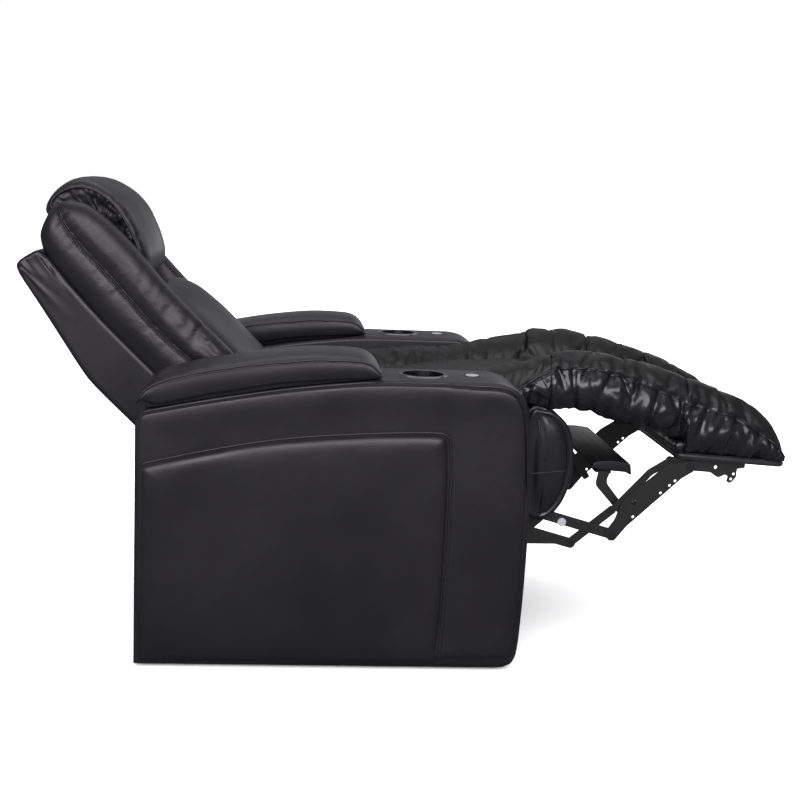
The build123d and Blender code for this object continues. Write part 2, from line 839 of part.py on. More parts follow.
def foot_board():
    with BuildPart() as board:
        with BuildSketch(side_plane(board_half_width)):
            rounded(((board_rear_x, board_under(board_rear_x), 0), (board_rear_x, board_rear_z, 0),
                     (board_front_x, board_front_z, 0),
                     (board_front_x, board_under(board_front_x), 0)))
        extrude(amount=2 * board_half_width)
        fillet(board.edges().filter_by(Axis.Z), 20)
    return board.part


def profile_loft(sections):
    """Closed solid through side profiles (y, points), the same number of points in each."""
    with BuildPart() as body:
        for y, points in sections:
            with BuildSketch(side_plane(y)):
                with BuildLine():
                    Polyline(*points, close=True)
                make_face()
        loft(ruled=True)
    return body.part


def across(edge, crest, centre, under, inset=6.0):
    """Sections over the full width: drawn-in edge, bolster crest, sewn groove, middle."""
    def mix(a, b, share, drop=0.0):
        return [(pa[0] + (pb[0] - pa[0]) * share, pa[1] + (pb[1] - pa[1]) * share - drop)
                for pa, pb in zip(a, b)]

    half = [
        (seat_half_width, mix(edge, crest, 0.0) + under),
        (seat_half_width - 3, mix(edge, crest, 0.42) + under),
        (seat_half_width - 14, mix(edge, crest, 0.82) + under),
        (seat_half_width - 36, mix(edge, crest, 1.0) + under),
        (seat_half_width - 60, mix(crest, centre, 0.22) + under),
        (seat_half_width - 80, mix(crest, centre, 0.8, inset) + under),
        (seat_half_width - 86, mix(crest, centre, 1.0, 2 * inset) + under),
        (seat_half_width - 98, mix(crest, centre, 1.0, inset / 2) + under),
        (seat_half_width - 140, mix(centre, centre, 0.0, -3.0) + under),
    ]
    return half + [(-y, points) for y, points in reversed(half)]


def seat_cushion():
    xs = (seat_rear_x, seat_rear_x + 14, -120, 0, 143, 239, 290, knee_x - soft_gap)
    crest = list(zip(xs, (552, 574, 588, 600, 617, 638, 649, 645)))
    centre = list(zip(xs, (540, 560, 574, 588, 602, 607, 606, 596)))
    edge = list(zip(xs, (516, 534, 546, 556, 566, 577, 608, 613)))
    under = [(knee_x - soft_gap, 534), (rail_front_x, 547), (rail_front_x - 4, cushion_low_z),
             (seat_rear_x, cushion_low_z)]
    return profile_loft(across(edge, crest, centre, under))


def calf_pad():
    """Calf section: two channels with a sewn seam between them."""
    gap = soft_gap
    xs = (knee_x, knee_x + 22, 397, 462, calf_seam_x - 8, calf_seam_x, calf_seam_x + 8, 530, 590,
          foot_seam_x - 14, foot_seam_x - gap)
    crest = list(zip(xs, (645, 656, 661, 652, 646, 638, 643, 638, 621, 612, 598)))
    centre = list(zip(xs, (596, 608, 614, 607, 600, 590, 596, 592, 577, 568, 552)))
    edge = list(zip(xs, (613, 624, 628, 617, 612, 606, 608, 597, 574, 562, 552)))
    under = [(foot_seam_x - gap, 470), (580, 484), (452, 515), (382, 535), (knee_x, 534)]
    return profile_loft(across(edge, crest, centre, under))


def foot_pad():
    xs = (foot_seam_x + soft_gap, foot_seam_x + 14, 690, 745, 796, 826, 847, board_front_x - 4)
    crest = list(zip(xs, (597, 604, 590, 566, 538, 505, 467, 445)))
    centre = list(zip(xs, (552, 566, 556, 532, 506, 478, 456, 441)))
    edge = list(zip(xs, (550, 556, 541, 524, 492, 472, 452, 438)))
    under = [(board_front_x - 6, board_top(board_front_x - 6)),
             (foot_seam_x + soft_gap, board_top(foot_seam_x + soft_gap))]
    return profile_loft(across(edge, crest, centre, under, inset=3.0))


def front_panel():
    """Padded apron below the knees: full width above, a core and two thin cheeks below."""
    half = seat_half_width - 4.0
    core_half, cheek_inner = hanger_outer - 7.5, link_outer_y + 4.5
    core_low, slot_high = 336.0, 360.0
    with BuildPart() as panel:
        with BuildSketch(side_plane(half)):
            rounded(((rail_front_x, 546, 0), (318, 533.6, 0), (348, 506, 30), (366, 462, 40),
                     (372, 405, 60), (352, 322, 60), (318, 281, 24), (274, 278, 6),
                     (262, 300, 30), (rail_front_x, 330, 10)))
        extrude(amount=2 * half)
        chamfer(panel.faces().filter_by(Axis.Y).edges().filter_by(
            lambda e: e.center().X > rail_front_x + 1), 5)
        with BuildSketch(side_plane(cheek_inner)):
            with Locations((310, core_low - 60)):
                Rectangle(160, 120)
        extrude(amount=2 * cheek_inner, mode=Mode.SUBTRACT)
        for _, side in SIDES:
            with BuildSketch(side_plane(cheek_inner if side > 0 else -core_half)):
                with Locations((310, slot_high - 60)):
                    Rectangle(160, 120)
            extrude(amount=cheek_inner - core_half, mode=Mode.SUBTRACT)
    return panel.part


# ---------------------------------------------------------------- backrest
def stack(points, levels):
    """Solid through copies of an outline in the reclined plane, each drawn in by its inset."""
    with BuildPart() as body:
        for y, inset in levels:
            with BuildSketch(back_plane(y)):
                with BuildLine():
                    Polyline(*points, close=True)
                make_face()
                if inset:
                    offset(amount=-inset, kind=Kind.INTERSECTION)
        loft(ruled=True)
    return body.part


shell_half = back_half_width - 4.0
back_inner_half = shell_half - 8.0
back_floor_s = -20.0


def back_shell():
    outline = ((-80, back_floor_s), (-182, back_floor_s), (-182, 225), (-177, 363), (-150, 484),
               (-120, 624), (-108, 645), (-56, 634), (-70, 524), (-80, 374))
    hollow = ((-60, back_floor_s + 8), (-174, back_floor_s + 8), (-174, 225), (-169, 361),
              (-142, 483), (-114, 618), (-104, 636), (-30, 620), (-40, 374))
    with BuildPart() as shell:
        with BuildSketch(back_plane(shell_half)):
            with BuildLine():
                Polyline(*outline, close=True)
            make_face()
        extrude(amount=2 * shell_half)
        rear = shell.faces().filter_by(Axis.Y).edges().filter_by(
            lambda e: (e.center() - Vector(pivot_x, e.center().Y, pivot_z)).dot(
                Vector(cos_r, 0, sin_r)) < -100)
        chamfer(rear, 5)
        with BuildSketch(back_plane(back_inner_half)):
            with BuildLine():
                Polyline(*hollow, close=True)
            make_face()
        extrude(amount=2 * back_inner_half, mode=Mode.SUBTRACT)
    return shell.part


def back_frame():
    """Plywood frame in the back: two cheeks, three cross rails and the panel behind the pads."""
    cheek = 18.0
    inner = back_inner_half - cheek
    with BuildPart() as frame:
        for _, side in SIDES:
            with BuildSketch(back_plane(back_inner_half if side > 0 else -inner)):
                with BuildLine():
                    Polyline((-80, -8), (-160, -8), (-160, 340), (-108, 600), (-60.4, 600),
                             (-70, 524), (-80, 374), close=True)
                make_face()
            extrude(amount=cheek)
        for d, s, depth, height in ((-94, 22, 20, 60), (-94, 330, 20, 60), (-84, 572, 20, 50),
                                    (-150, 22, 18, 60)):
            with BuildSketch(back_plane(inner)):
                with Locations((d, s)):
                    Rectangle(depth, height)
            extrude(amount=2 * inner)
        with BuildSketch(back_plane(wing_inner_y - 2)):
            with Locations((-72, 292)):
                Rectangle(24, 600)
        extrude(amount=2 * (wing_inner_y - 2))
    return frame.part


def back_wing(side):
    outline = ((-80, back_floor_s), (-80, 374), (-70, 524), (-56, 634), (-30, 652), (22, 672),
               (46, wing_top_s), (74, 655), (88, 621), (wing_front_d, 540), (96, 360),
               (wing_front_d, 178), (86, 60), (72, back_floor_s))
    inner, outer = wing_inner_y, back_half_width
    levels = ((outer, 13), (outer - 3, 6), (outer - 8, 1.5), (outer - 14, 0), (inner + 20, 0),
              (inner + 6, 5), (inner + 1, 12))
    return stack(outline, [(side * y, inset) for y, inset in levels])


def lumbar_pad():
    outline = ((-60, -14), (66, -14), (90, 30), (100, 84), (106, 126), (106, 172), (103, 260),
               (94, 347), (76, 386), (46, 408), (-60, 412))
    half = wing_inner_y - 1
    levels = ((half, 30), (half - 6, 16), (half - 24, 5), (half - 60, 0.5))
    return stack(outline, list(levels) + [(-y, inset) for y, inset in reversed(levels)])


def back_upper_pad():
    outline = ((-60, 418), (28, 430), (28, 640), (8, 648), (-40, 646), (-58, 600))
    half = wing_inner_y - 1
    levels = ((half, 3), (half - 6, 0))
    return stack(outline, list(levels) + [(-y, inset) for y, inset in reversed(levels)])


def headrest_motor():
    with BuildPart() as motor:
        with BuildSketch(back_plane(26)):
            with Locations((-118, 420)):
                RectangleRounded(46, 90, 8)
            with Locations((-100, 503.5)):
                Rectangle(22, 87)
        extrude(amount=52)
    return motor.part


head_axis = (33.2, 448.0)
head_knuckle = 3.0


def headrest_hinge():
    """Leaf, two outer knuckles and pin of the headrest hinge, on the front of the upper back."""
    with BuildPart() as hinge:
        with BuildSketch(back_plane(100)):
            with Locations((head_axis[0] - 4.2, head_axis[1] + 35)):
                Rectangle(2, 70)
        extrude(amount=200)
        for y in (100, -41):
            with BuildSketch(back_plane(y)):
                with Locations(head_axis):
                    Circle(head_knuckle)
                with Locations((head_axis[0] - 2.6, head_axis[1] + 1)):
                    Rectangle(5, 4)
            extrude(amount=59)
        with BuildSketch(back_plane(98)):
            with Locations(head_axis):
                Circle(1.6)
        extrude(amount=196)
    return hinge.part


def headrest_plate():
    """Leaf of the hinge and the steel plate of the headrest, one piece."""
    with BuildPart() as plate:
        with BuildSketch(back_plane(150)):
            with Locations((head_axis[0] + 4.3, head_axis[1] + 75)):
                Rectangle(2, 150)
        extrude(amount=300)
        with BuildSketch(back_plane(40.5)):
            with Locations(head_axis):
                Circle(head_knuckle)
            with Locations((head_axis[0] + 2.6, head_axis[1] + 1)):
                Rectangle(5, 4)
        extrude(amount=81)
        with BuildSketch(back_plane(40.5)):
            with Locations(head_axis):
                Circle(1.6 + pin_play)
        extrude(amount=81, mode=Mode.SUBTRACT)
    return plate.part


def headrest_pad():
    rear = head_axis[0] + 5.3
    outline = ((rear, 446), (rear, 640), (6, 660), (4, 682), (26, 692), (54, 699), (90, 692),
               (120, 677), (146, 650), (161, 618), (168, 580), (169, 536), (156, 492),
               (131, 462), (90, 444))
    half = wing_inner_y - 2
    levels = ((half, 9), (half - 4, 5), (half - 14, 1), (half - 30, 0))
    return stack(outline, list(levels) + [(-y, inset) for y, inset in reversed(levels)])


def back_pivot_brackets():
    """Plates on both sides of the back with the pivot pins and the studs into the frame."""
    inner = shell_half + 7.0
    outer = inner + plate_thick
    with BuildPart() as brackets:
        for _, side in SIDES:
            with BuildSketch(back_plane(plate_start(side, outer))):
                rounded(((16, -16, 15), (16, 16, 15), (-90, 170, 0), (-140, 170, 0),
                         (-150, -8, 0), (-60, -16, 0)))
            extrude(amount=plate_thick)
            for d, s, radius, low, high in ((0, 0, back_pin, inner, rail_outer_y + 6.0),
                                            (-120, 30, 7, shell_half, inner),
                                            (-120, 140, 7, shell_half, inner)):
                with BuildSketch(back_plane(side * high if side > 0 else -low)):
                    with Locations((d, s)):
                        Circle(radius)
                extrude(amount=high - low)
    return brackets.part


# ---------------------------------------------------------------- export
for name, side in SIDES:
    save(arm_body(side), f"arm_body_{name}")
    save(arm_inset(side), f"arm_inset_{name}")
    save(button(side), f"control_button_{name}")
    save(lid_board(side), f"lid_board_{name}")
    save(lid_pad(side), f"lid_pad_{name}")
    save(mech_plate(side), f"mech_plate_{name}")
    save(main_link(side), f"main_link_{name}")
    save(foot_bracket(side), f"foot_bracket_{name}")
    save(back_wing(side), f"back_wing_{name}")

for label, maker in (
    ("cup_holders", cup_holders), ("storage_tubs", storage_tubs),
    ("arm_base_boards", arm_base_boards), ("glides", glides), ("button_bezels", button_bezels),
    ("lid_hinges", lid_hinges), ("base_rails", base_rails), ("base_crossbars", base_crossbars),
    ("seat_side_rails", seat_side_rails), ("seat_end_rails", seat_end_rails),
    ("seat_webbing", seat_webbing), ("slide_runners", slide_runners),
    ("back_hinge_plates", back_hinge_plates), ("drive_motor", drive_motor),
    ("actuator_rail", actuator_rail), ("actuator_nut", actuator_nut),
    ("seat_pivot_pins", seat_pivot_pins), ("lower_links", lower_links),
    ("lower_pins", lower_pins), ("cross_links", cross_links), ("cross_pins", cross_pins),
    ("crank_links", crank_links), ("drive_tube", drive_tube), ("main_pins", main_pins),
    ("mid_hangers", mid_hangers), ("mid_board", mid_board), ("inner_links", inner_links),
    ("foot_pins", foot_pins), ("foot_board", foot_board), ("foot_pad", foot_pad),
    ("seat_cushion", seat_cushion), ("calf_pad", calf_pad), ("front_panel", front_panel),
    ("back_shell", back_shell), ("back_frame", back_frame), ("lumbar_pad", lumbar_pad),
    ("back_upper_pad", back_upper_pad), ("headrest_motor", headrest_motor),
    ("headrest_hinge", headrest_hinge), ("headrest_plate", headrest_plate),
    ("headrest_pad", headrest_pad), ("back_pivot_brackets", back_pivot_brackets),
):
    save(maker(), label)
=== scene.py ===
import bmesh
import bpy
import json
import numpy as np
from math import cos, pi, radians, sin
from mathutils import Matrix, Vector


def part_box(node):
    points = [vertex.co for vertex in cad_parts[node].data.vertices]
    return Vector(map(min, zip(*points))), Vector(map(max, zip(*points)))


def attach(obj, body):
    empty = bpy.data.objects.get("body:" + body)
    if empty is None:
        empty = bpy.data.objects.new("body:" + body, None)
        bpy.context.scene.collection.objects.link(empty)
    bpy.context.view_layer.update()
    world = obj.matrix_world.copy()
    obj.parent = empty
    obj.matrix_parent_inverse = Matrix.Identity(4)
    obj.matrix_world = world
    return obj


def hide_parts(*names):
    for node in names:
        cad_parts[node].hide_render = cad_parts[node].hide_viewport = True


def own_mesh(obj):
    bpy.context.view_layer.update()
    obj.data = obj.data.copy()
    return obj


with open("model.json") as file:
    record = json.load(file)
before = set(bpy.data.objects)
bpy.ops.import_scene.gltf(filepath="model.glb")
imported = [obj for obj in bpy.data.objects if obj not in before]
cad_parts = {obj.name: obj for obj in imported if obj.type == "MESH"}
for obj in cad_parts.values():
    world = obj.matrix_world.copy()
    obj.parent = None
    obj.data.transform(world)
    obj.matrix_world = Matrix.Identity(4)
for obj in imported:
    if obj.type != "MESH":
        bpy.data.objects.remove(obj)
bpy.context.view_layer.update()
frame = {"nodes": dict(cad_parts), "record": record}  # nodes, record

# Looks of a power reclining cinema seat in black leather: sewn and padded leather in the place of
# the imported solids, painted linkage, bright cup holders, white studio.
#
# Lengths below are in millimetres in the drawing of the solids: x forward, y to the occupant's
# left, z up, origin on the floor. "d, s" are the two axes of the reclined back, forward and up.
# An outline is a closed loop of corners in (x, z) or (d, s), rounded off by ring().

SIDES = (("left", 1), ("right", -1))

# ---------------------------------------------------------------- sizes shared with the solids
BOARD_FRONT_X = 861.0
ARM_INNER_Y, ARM_OUTER_Y = 285.0, 475.0
ARM_MID_Y = (ARM_INNER_Y + ARM_OUTER_Y) / 2
CUP_X, CUP_CUT = 10.0, 50.0                 # cup holder, radius of the hole in the leather
WELL_X, WELL_CUT = -265.0, (166.0, 58.5)    # storage well, half length and half width of its hole
SEAT_HALF = 268.0
KNEE_X, CALF_SEAM_X, FOOT_SEAM_X = 320.0, 485.0, 635.0
BACK_PIVOT = (-320.0, 450.0)
RECLINE = radians(45.8)
WING_MID_Y = 235.0
HEAD_HALF = 201.6
SHIFT_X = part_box("foot_board")[1][0] - BOARD_FRONT_X / 1000.0


def metres(points):
    """Points in millimetres of the drawing, as metres of the row frame."""
    return np.asarray(points, float) * 0.001 + np.array([SHIFT_X, 0.0, 0.0])


def reclined(d, s, y):
    """Points of the reclined back in millimetres of the drawing."""
    x = BACK_PIVOT[0] + d * cos(RECLINE) - s * sin(RECLINE)
    z = BACK_PIVOT[1] + d * sin(RECLINE) + s * cos(RECLINE)
    x, z, y = np.broadcast_arrays(x, z, y)
    return np.stack([x, y, z], -1)


def board_top(x):
    """Height of the foot board's upper face, which falls 15 mm over its 253 mm from the rear."""
    return 443.0 - 15.0 * (x - 608.0) / 253.0


def deck(x):
    """Height of the arm's top along the arm: three straight runs from the rear."""
    return np.interp(x, (-582, -290, -90, 300), (543, 597, 621, 621))


# ---------------------------------------------------------------- curves and surfaces
def smooth(knots, values, at):
    """Curve through the values at the knots without overshoot: cubic pieces whose slope at a knot
    is the mean of both sides, or flat where they disagree. Works along the last axis."""
    knots, values, at = (np.asarray(a, float) for a in (knots, values, at))
    step = np.diff(knots)
    slope = np.diff(values, axis=-1) / step
    inner = (slope[..., 1:] * step[:-1] + slope[..., :-1] * step[1:]) / (step[1:] + step[:-1])
    inner = np.where(slope[..., 1:] * slope[..., :-1] <= 0, 0.0, inner)
    limit = 2.5 * np.minimum(np.abs(slope[..., 1:]), np.abs(slope[..., :-1]))
    inner = np.clip(inner, -limit, limit)
    tangent = np.concatenate([slope[..., :1], inner, slope[..., -1:]], -1)
    i = np.clip(np.searchsorted(knots, at, side="right") - 1, 0, len(step) - 1)
    t = np.clip((at - knots[i]) / step[i], 0.0, 1.0)
    h = step[i]
    return ((2 * t**3 - 3 * t**2 + 1) * values[..., i] + (t**3 - 2 * t**2 + t) * h * tangent[..., i]
            + (3 * t**2 - 2 * t**3) * values[..., i + 1] + (t**3 - t**2) * h * tangent[..., i + 1])


def ease(t):
    """Rises from 0 to 1 as t does, flat at both ends: three squares less two cubes of t."""
    t = np.clip(t, 0.0, 1.0)
    return t * t * (3 - 2 * t)


def ring(points, count, cuts=3):
    """Closed outline whose corners are cut away again and again, then spaced evenly."""
    p = np.array(points, float)
    for _ in range(cuts):
        q = np.roll(p, -1, axis=0)
        p = np.stack([0.75 * p + 0.25 * q, 0.25 * p + 0.75 * q], 1).reshape(-1, 2)
    p = np.vstack([p, p[:1]])
    run = np.concatenate([[0.0], np.cumsum(np.linalg.norm(np.diff(p, axis=0), axis=1))])
    at = np.linspace(0, run[-1], count, endpoint=False)
    return np.stack([np.interp(at, run, p[:, k]) for k in (0, 1)], -1)


def outward(loop):
    """Unit normals of a closed flat loop, pointing out of it."""
    tangent = np.roll(loop, -1, axis=0) - np.roll(loop, 1, axis=0)
    tangent /= np.linalg.norm(tangent, axis=1)[:, None]
    following = np.roll(loop, -1, axis=0)
    area = np.sum(loop[:, 0] * following[:, 1] - following[:, 0] * loop[:, 1])
    return np.sign(area) * np.stack([tangent[:, 1], -tangent[:, 0]], -1)


def graded(low, high, step, fine=None, reach=24.0):
    """Stations from low to high, closer together near both ends."""
    fine = fine or step / 3
    count = int((high - low) / step)
    edge = np.arange(fine, reach, fine)
    return np.unique(np.concatenate([[low, high], low + edge, high - edge,
                                     np.linspace(low + reach, high - reach, max(count, 2))]))


def wander(at, seed, period, terms=5):
    """Smooth irregular wave about zero, one high, made of a few sines with seeded phases."""
    rng = np.random.default_rng(seed)
    total = np.zeros(np.shape(at))
    for k in range(terms):
        total += np.sin(2 * pi * at / (period * (0.6 + 0.35 * k)) + rng.uniform(0, 2 * pi))
    return total / np.sqrt(terms * 2)


def gathers(along, across, seed, pitch, depth, width, reach, lean=0.3):
    """Folds that start at a seam: each is a narrow trough across the seam's run that fades with
    the distance from it. Returns how far the leather sinks at each point."""
    rng = np.random.default_rng(seed)
    low, high = float(np.min(along)), float(np.max(along))
    sunk = np.zeros(np.shape(along))
    for start in np.arange(low, high, pitch):
        centre = start + rng.uniform(0, pitch)
        lengthy = reach * rng.uniform(0.5, 1.5)
        turn = rng.uniform(-lean, lean)
        narrow = width * rng.uniform(0.6, 1.5)
        bend = along - centre - turn * across
        sunk += (depth * rng.uniform(0.3, 1.2) * np.exp(-(bend / narrow) ** 2)
                 * np.exp(-(across / lengthy) ** 2))
    return sunk


def crumple(a, b, seed, size):
    """Sharp-edged creases that cross each other, zero to about one deep, over a flat patch."""
    rng = np.random.default_rng(seed)
    total = np.zeros(np.shape(a))
    for k in range(4):
        turn = rng.uniform(0, pi)
        across = a * cos(turn) + b * sin(turn)
        beside = b * cos(turn) - a * sin(turn)
        bent = across + 0.35 * size * wander(beside, seed + 20 + k, 2.2 * size, 3)
        total += 1 - np.abs(wander(bent, seed + k, size, 4))
    return total / 4


def make_mesh(name, points, faces, finish, body):
    """Smooth-shaded piece from points in millimetres, riding on a body. Points that coincide are
    merged, and the faces turned outwards."""
    mesh = bpy.data.meshes.new(name)
    mesh.from_pydata(metres(points).tolist(), [], faces)
    shell = bmesh.new()
    shell.from_mesh(mesh)
    bmesh.ops.remove_doubles(shell, verts=shell.verts, dist=1e-5)
    bmesh.ops.recalc_face_normals(shell, faces=shell.faces)
    shell.to_mesh(mesh)
    shell.free()
    mesh.polygons.foreach_set("use_smooth", np.ones(len(mesh.polygons), bool))
    mesh.materials.append(finish)
    mesh.update()
    piece = bpy.data.objects.new(name, mesh)
    bpy.context.scene.collection.objects.link(piece)
    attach(piece, body)
    return piece


def grid_faces(rows, columns, wrap=True, start=0):
    """Four-sided faces between neighbouring rows of points."""
    r = np.arange(rows - 1)[:, None]
    c = np.arange(columns if wrap else columns - 1)[None, :]
    a, b = r * columns + c, r * columns + (c + 1) % columns
    quads = np.stack([a, b, b + columns, a + columns], -1).reshape(-1, 4) + start
    return quads.tolist()


def skin(name, grid, finish, body):
    """Closed piece from rings of points, each end drawn together to a point in its middle."""
    rows, columns = grid.shape[:2]
    points = np.vstack([grid.reshape(-1, 3), grid[0].mean(0)[None], grid[-1].mean(0)[None]])
    faces = grid_faces(rows, columns)
    for row, tip in ((0, rows * columns), (rows - 1, rows * columns + 1)):
        first = row * columns
        faces += [[first + c, first + (c + 1) % columns, tip] for c in range(columns)]
    return make_mesh(name, points, faces, finish, body)


def tube(name, path, radius, finish, body, closed=False, sides=8, upright=(0, 1, 0)):
    """Round cord along a path: circles square to the path, turned so that they never twist."""
    path = np.asarray(path, float)
    if closed:
        tangent = np.roll(path, -1, axis=0) - np.roll(path, 1, axis=0)
    else:
        tangent = np.gradient(path, axis=0)
    tangent /= np.linalg.norm(tangent, axis=1)[:, None] + 1e-9
    side = np.cross(tangent, np.array(upright, float))
    side /= np.linalg.norm(side, axis=1)[:, None] + 1e-9
    lift = np.cross(tangent, side)
    angle = np.arange(sides) * 2 * pi / sides
    rings = (path[:, None] + radius * (np.cos(angle)[None, :, None] * side[:, None]
                                       + np.sin(angle)[None, :, None] * lift[:, None]))
    if closed:
        points = rings.reshape(-1, 3)
        faces = grid_faces(len(path), sides)
        last = (len(path) - 1) * sides
        faces += [[last + k, last + (k + 1) % sides, (k + 1) % sides, k] for k in range(sides)]
        return make_mesh(name, points, faces, finish, body)
    return skin(name, rings, finish, body)


def stitches(name, path, finish, body, spacing=7.0, length=4.4, radius=0.55):
    """Row of short thread stitches along a path, each a six-sided bead drawn in at both ends."""
    path = np.asarray(path, float)
    run = np.concatenate([[0.0], np.cumsum(np.linalg.norm(np.diff(path, axis=0), axis=1))])
    middles = np.arange(spacing / 2, run[-1], spacing)

    def at(distance):
        """Places at these distances along the path."""
        return np.stack([np.interp(distance, run, path[:, k]) for k in range(3)], -1)

    ahead = at(middles + length / 2) - at(middles - length / 2)
    ahead /= np.linalg.norm(ahead, axis=1)[:, None] + 1e-9
    side = np.cross(ahead, np.array([0.31, 0.87, 0.38]))
    side /= np.linalg.norm(side, axis=1)[:, None]
    lift = np.cross(ahead, side)
    points, faces = [], []
    angle = np.arange(6) * pi / 3
    shape = ((-0.5, 0.35), (-0.25, 1.0), (0.25, 1.0), (0.5, 0.35))
    for k, middle in enumerate(at(middles)):
        first = k * 24
        for share, girth in shape:
            points.append(middle + ahead[k] * share * length + girth * radius
                          * (np.cos(angle)[:, None] * side[k] + np.sin(angle)[:, None] * lift[k]))
        faces += grid_faces(4, 6, start=first)
        faces += [list(range(first + 5, first - 1, -1)), list(range(first + 18, first + 24))]
    return make_mesh(name, np.vstack(points), faces, finish, body)


def puff(piece, sewn, pressure=4.0, growth=0.04, cap=10.0, frames=20):
    """Blows the leather up by cloth simulation, held along its seams: sewn is true for points
    that stay. No point moves further than cap, in millimetres."""
    scene = bpy.context.scene
    mesh = piece.data
    start = np.empty(len(mesh.vertices) * 3)
    mesh.vertices.foreach_get("co", start)
    start = start.reshape(-1, 3)
    held = piece.vertex_groups.new(name="sewn")
    held.add([int(i) for i in np.nonzero(sewn(start))[0]], 1.0, "REPLACE")
    cloth = piece.modifiers.new("filling", "CLOTH")
    cloth.settings.quality = 4
    cloth.settings.mass = 0.4
    cloth.settings.tension_stiffness = 30
    cloth.settings.compression_stiffness = 12
    cloth.settings.shear_stiffness = 8
    cloth.settings.bending_stiffness = 1.2
    cloth.settings.shrink_min = -growth
    cloth.settings.use_pressure = True
    cloth.settings.uniform_pressure_force = pressure
    cloth.settings.vertex_group_mass = "sewn"
    cloth.settings.effector_weights.gravity = 0.0
    cloth.collision_settings.use_collision = False
    for step in range(1, frames + 1):
        scene.frame_set(step)
    graph = bpy.context.evaluated_depsgraph_get()
    done = np.empty(len(start) * 3)
    piece.evaluated_get(graph).data.vertices.foreach_get("co", done)
    moved = done.reshape(-1, 3) - start
    far = np.linalg.norm(moved, axis=1)[:, None] + 1e-9
    reach = cap * 0.001
    moved *= np.tanh(far / reach) * reach / far
    piece.modifiers.remove(cloth)
    scene.frame_set(1)
    mesh.vertices.foreach_set("co", (start + moved).ravel())
    mesh.update()


# ---------------------------------------------------------------- finishes
def node_group(name, sockets, build):
    """Shader node group with named inputs and outputs. sockets: (name, kind, in or out, value)."""
    group = bpy.data.node_groups.new(name, "ShaderNodeTree")
    for label, kind, way, value in sockets:
        socket = group.interface.new_socket(label, in_out=way, socket_type=kind)
        if value is not None:
            socket.default_value = value
    build(group, group.nodes.new("NodeGroupInput"), group.nodes.new("NodeGroupOutput"))
    return group


def add(tree, kind, inputs=(), **settings):
    """A node with its settings, and its inputs set to values or linked from sockets."""
    node = tree.nodes.new(kind)
    for key, value in settings.items():
        setattr(node, key, value)
    for key, value in dict(inputs).items():
        if isinstance(value, bpy.types.NodeSocket):
            tree.links.new(value, node.inputs[key])
        else:
            node.inputs[key].default_value = value
    return node


def math_node(tree, operation, a, b=0.0):
    """Output of a Math node on two values or sockets."""
    return add(tree, "ShaderNodeMath", {0: a, 1: b}, operation=operation).outputs[0]


def build_grain(tree, entry, end):
    """Pebbled hide: cells about a millimetre wide with finer pores, uneven over the hide."""
    where = entry.outputs["Vector"]
    cells = add(tree, "ShaderNodeTexVoronoi", {"Vector": where, "Scale": 620.0},
                feature="SMOOTH_F1")
    pores = add(tree, "ShaderNodeTexNoise", {"Vector": where, "Scale": 1500.0, "Detail": 2.0})
    patches = add(tree, "ShaderNodeTexNoise", {"Vector": where, "Scale": 7.0, "Detail": 3.0})
    raised = math_node(tree, "MULTIPLY", cells.outputs["Distance"], 0.7)
    raised = math_node(tree, "ADD", raised, math_node(tree, "MULTIPLY", pores.outputs[0], 0.3))
    tree.links.new(raised, end.inputs["Height"])
    sheen = add(tree, "ShaderNodeMapRange", {0: patches.outputs[0], 1: 0.3, 2: 0.7,
                                             3: -0.05, 4: 0.06})
    tree.links.new(sheen.outputs[0], end.inputs["Gloss shift"])


def build_creases(tree, entry, end):
    """Slack creases in worn leather: stretched, bent waves that come and go."""
    where = entry.outputs["Vector"]
    bent = add(tree, "ShaderNodeTexNoise", {"Vector": where, "Scale": 9.0, "Detail": 2.0})
    shifted = add(tree, "ShaderNodeVectorMath", {0: bent.outputs[1], 3: 0.05}, operation="SCALE")
    place = add(tree, "ShaderNodeVectorMath", {0: where, 1: shifted.outputs[0]}, operation="ADD")
    folds = add(tree, "ShaderNodeTexNoise", {"Vector": place.outputs[0], "Scale": 22.0,
                                             "Detail": 3.0, "Roughness": 0.55})
    tree.links.new(folds.outputs[0], end.inputs["Height"])


def build_wear(tree, entry, end):
    """Faint dust and rubbed spots: a sparse mask from two noises."""
    where = entry.outputs["Vector"]
    broad = add(tree, "ShaderNodeTexNoise", {"Vector": where, "Scale": 5.0, "Detail": 4.0})
    fine = add(tree, "ShaderNodeTexNoise", {"Vector": where, "Scale": 160.0, "Detail": 2.0})
    both = math_node(tree, "MULTIPLY", broad.outputs[0], fine.outputs[0])
    mask = add(tree, "ShaderNodeMapRange", {0: both, 1: 0.28, 2: 0.5})
    tree.links.new(mask.outputs[0], end.inputs["Mask"])


def build_peel(tree, entry, end):
    """Orange peel of sprayed paint and its dust specks."""
    where = entry.outputs["Vector"]
    peel = add(tree, "ShaderNodeTexNoise", {"Vector": where, "Scale": 420.0, "Detail": 2.0})
    tree.links.new(peel.outputs[0], end.inputs["Height"])


def build_turned(tree, entry, end):
    """Fine lines left by turning and brushing, round the upright axis."""
    where = entry.outputs["Vector"]
    split = add(tree, "ShaderNodeSeparateXYZ", {0: where})
    stretched = add(tree, "ShaderNodeCombineXYZ", {
        0: math_node(tree, "MULTIPLY", split.outputs[0], 0.05), 1: split.outputs[1],
        2: split.outputs[2]})
    lines = add(tree, "ShaderNodeTexNoise", {"Vector": stretched.outputs[0], "Scale": 1400.0,
                                             "Detail": 1.0})
    tree.links.new(lines.outputs[0], end.inputs["Height"])


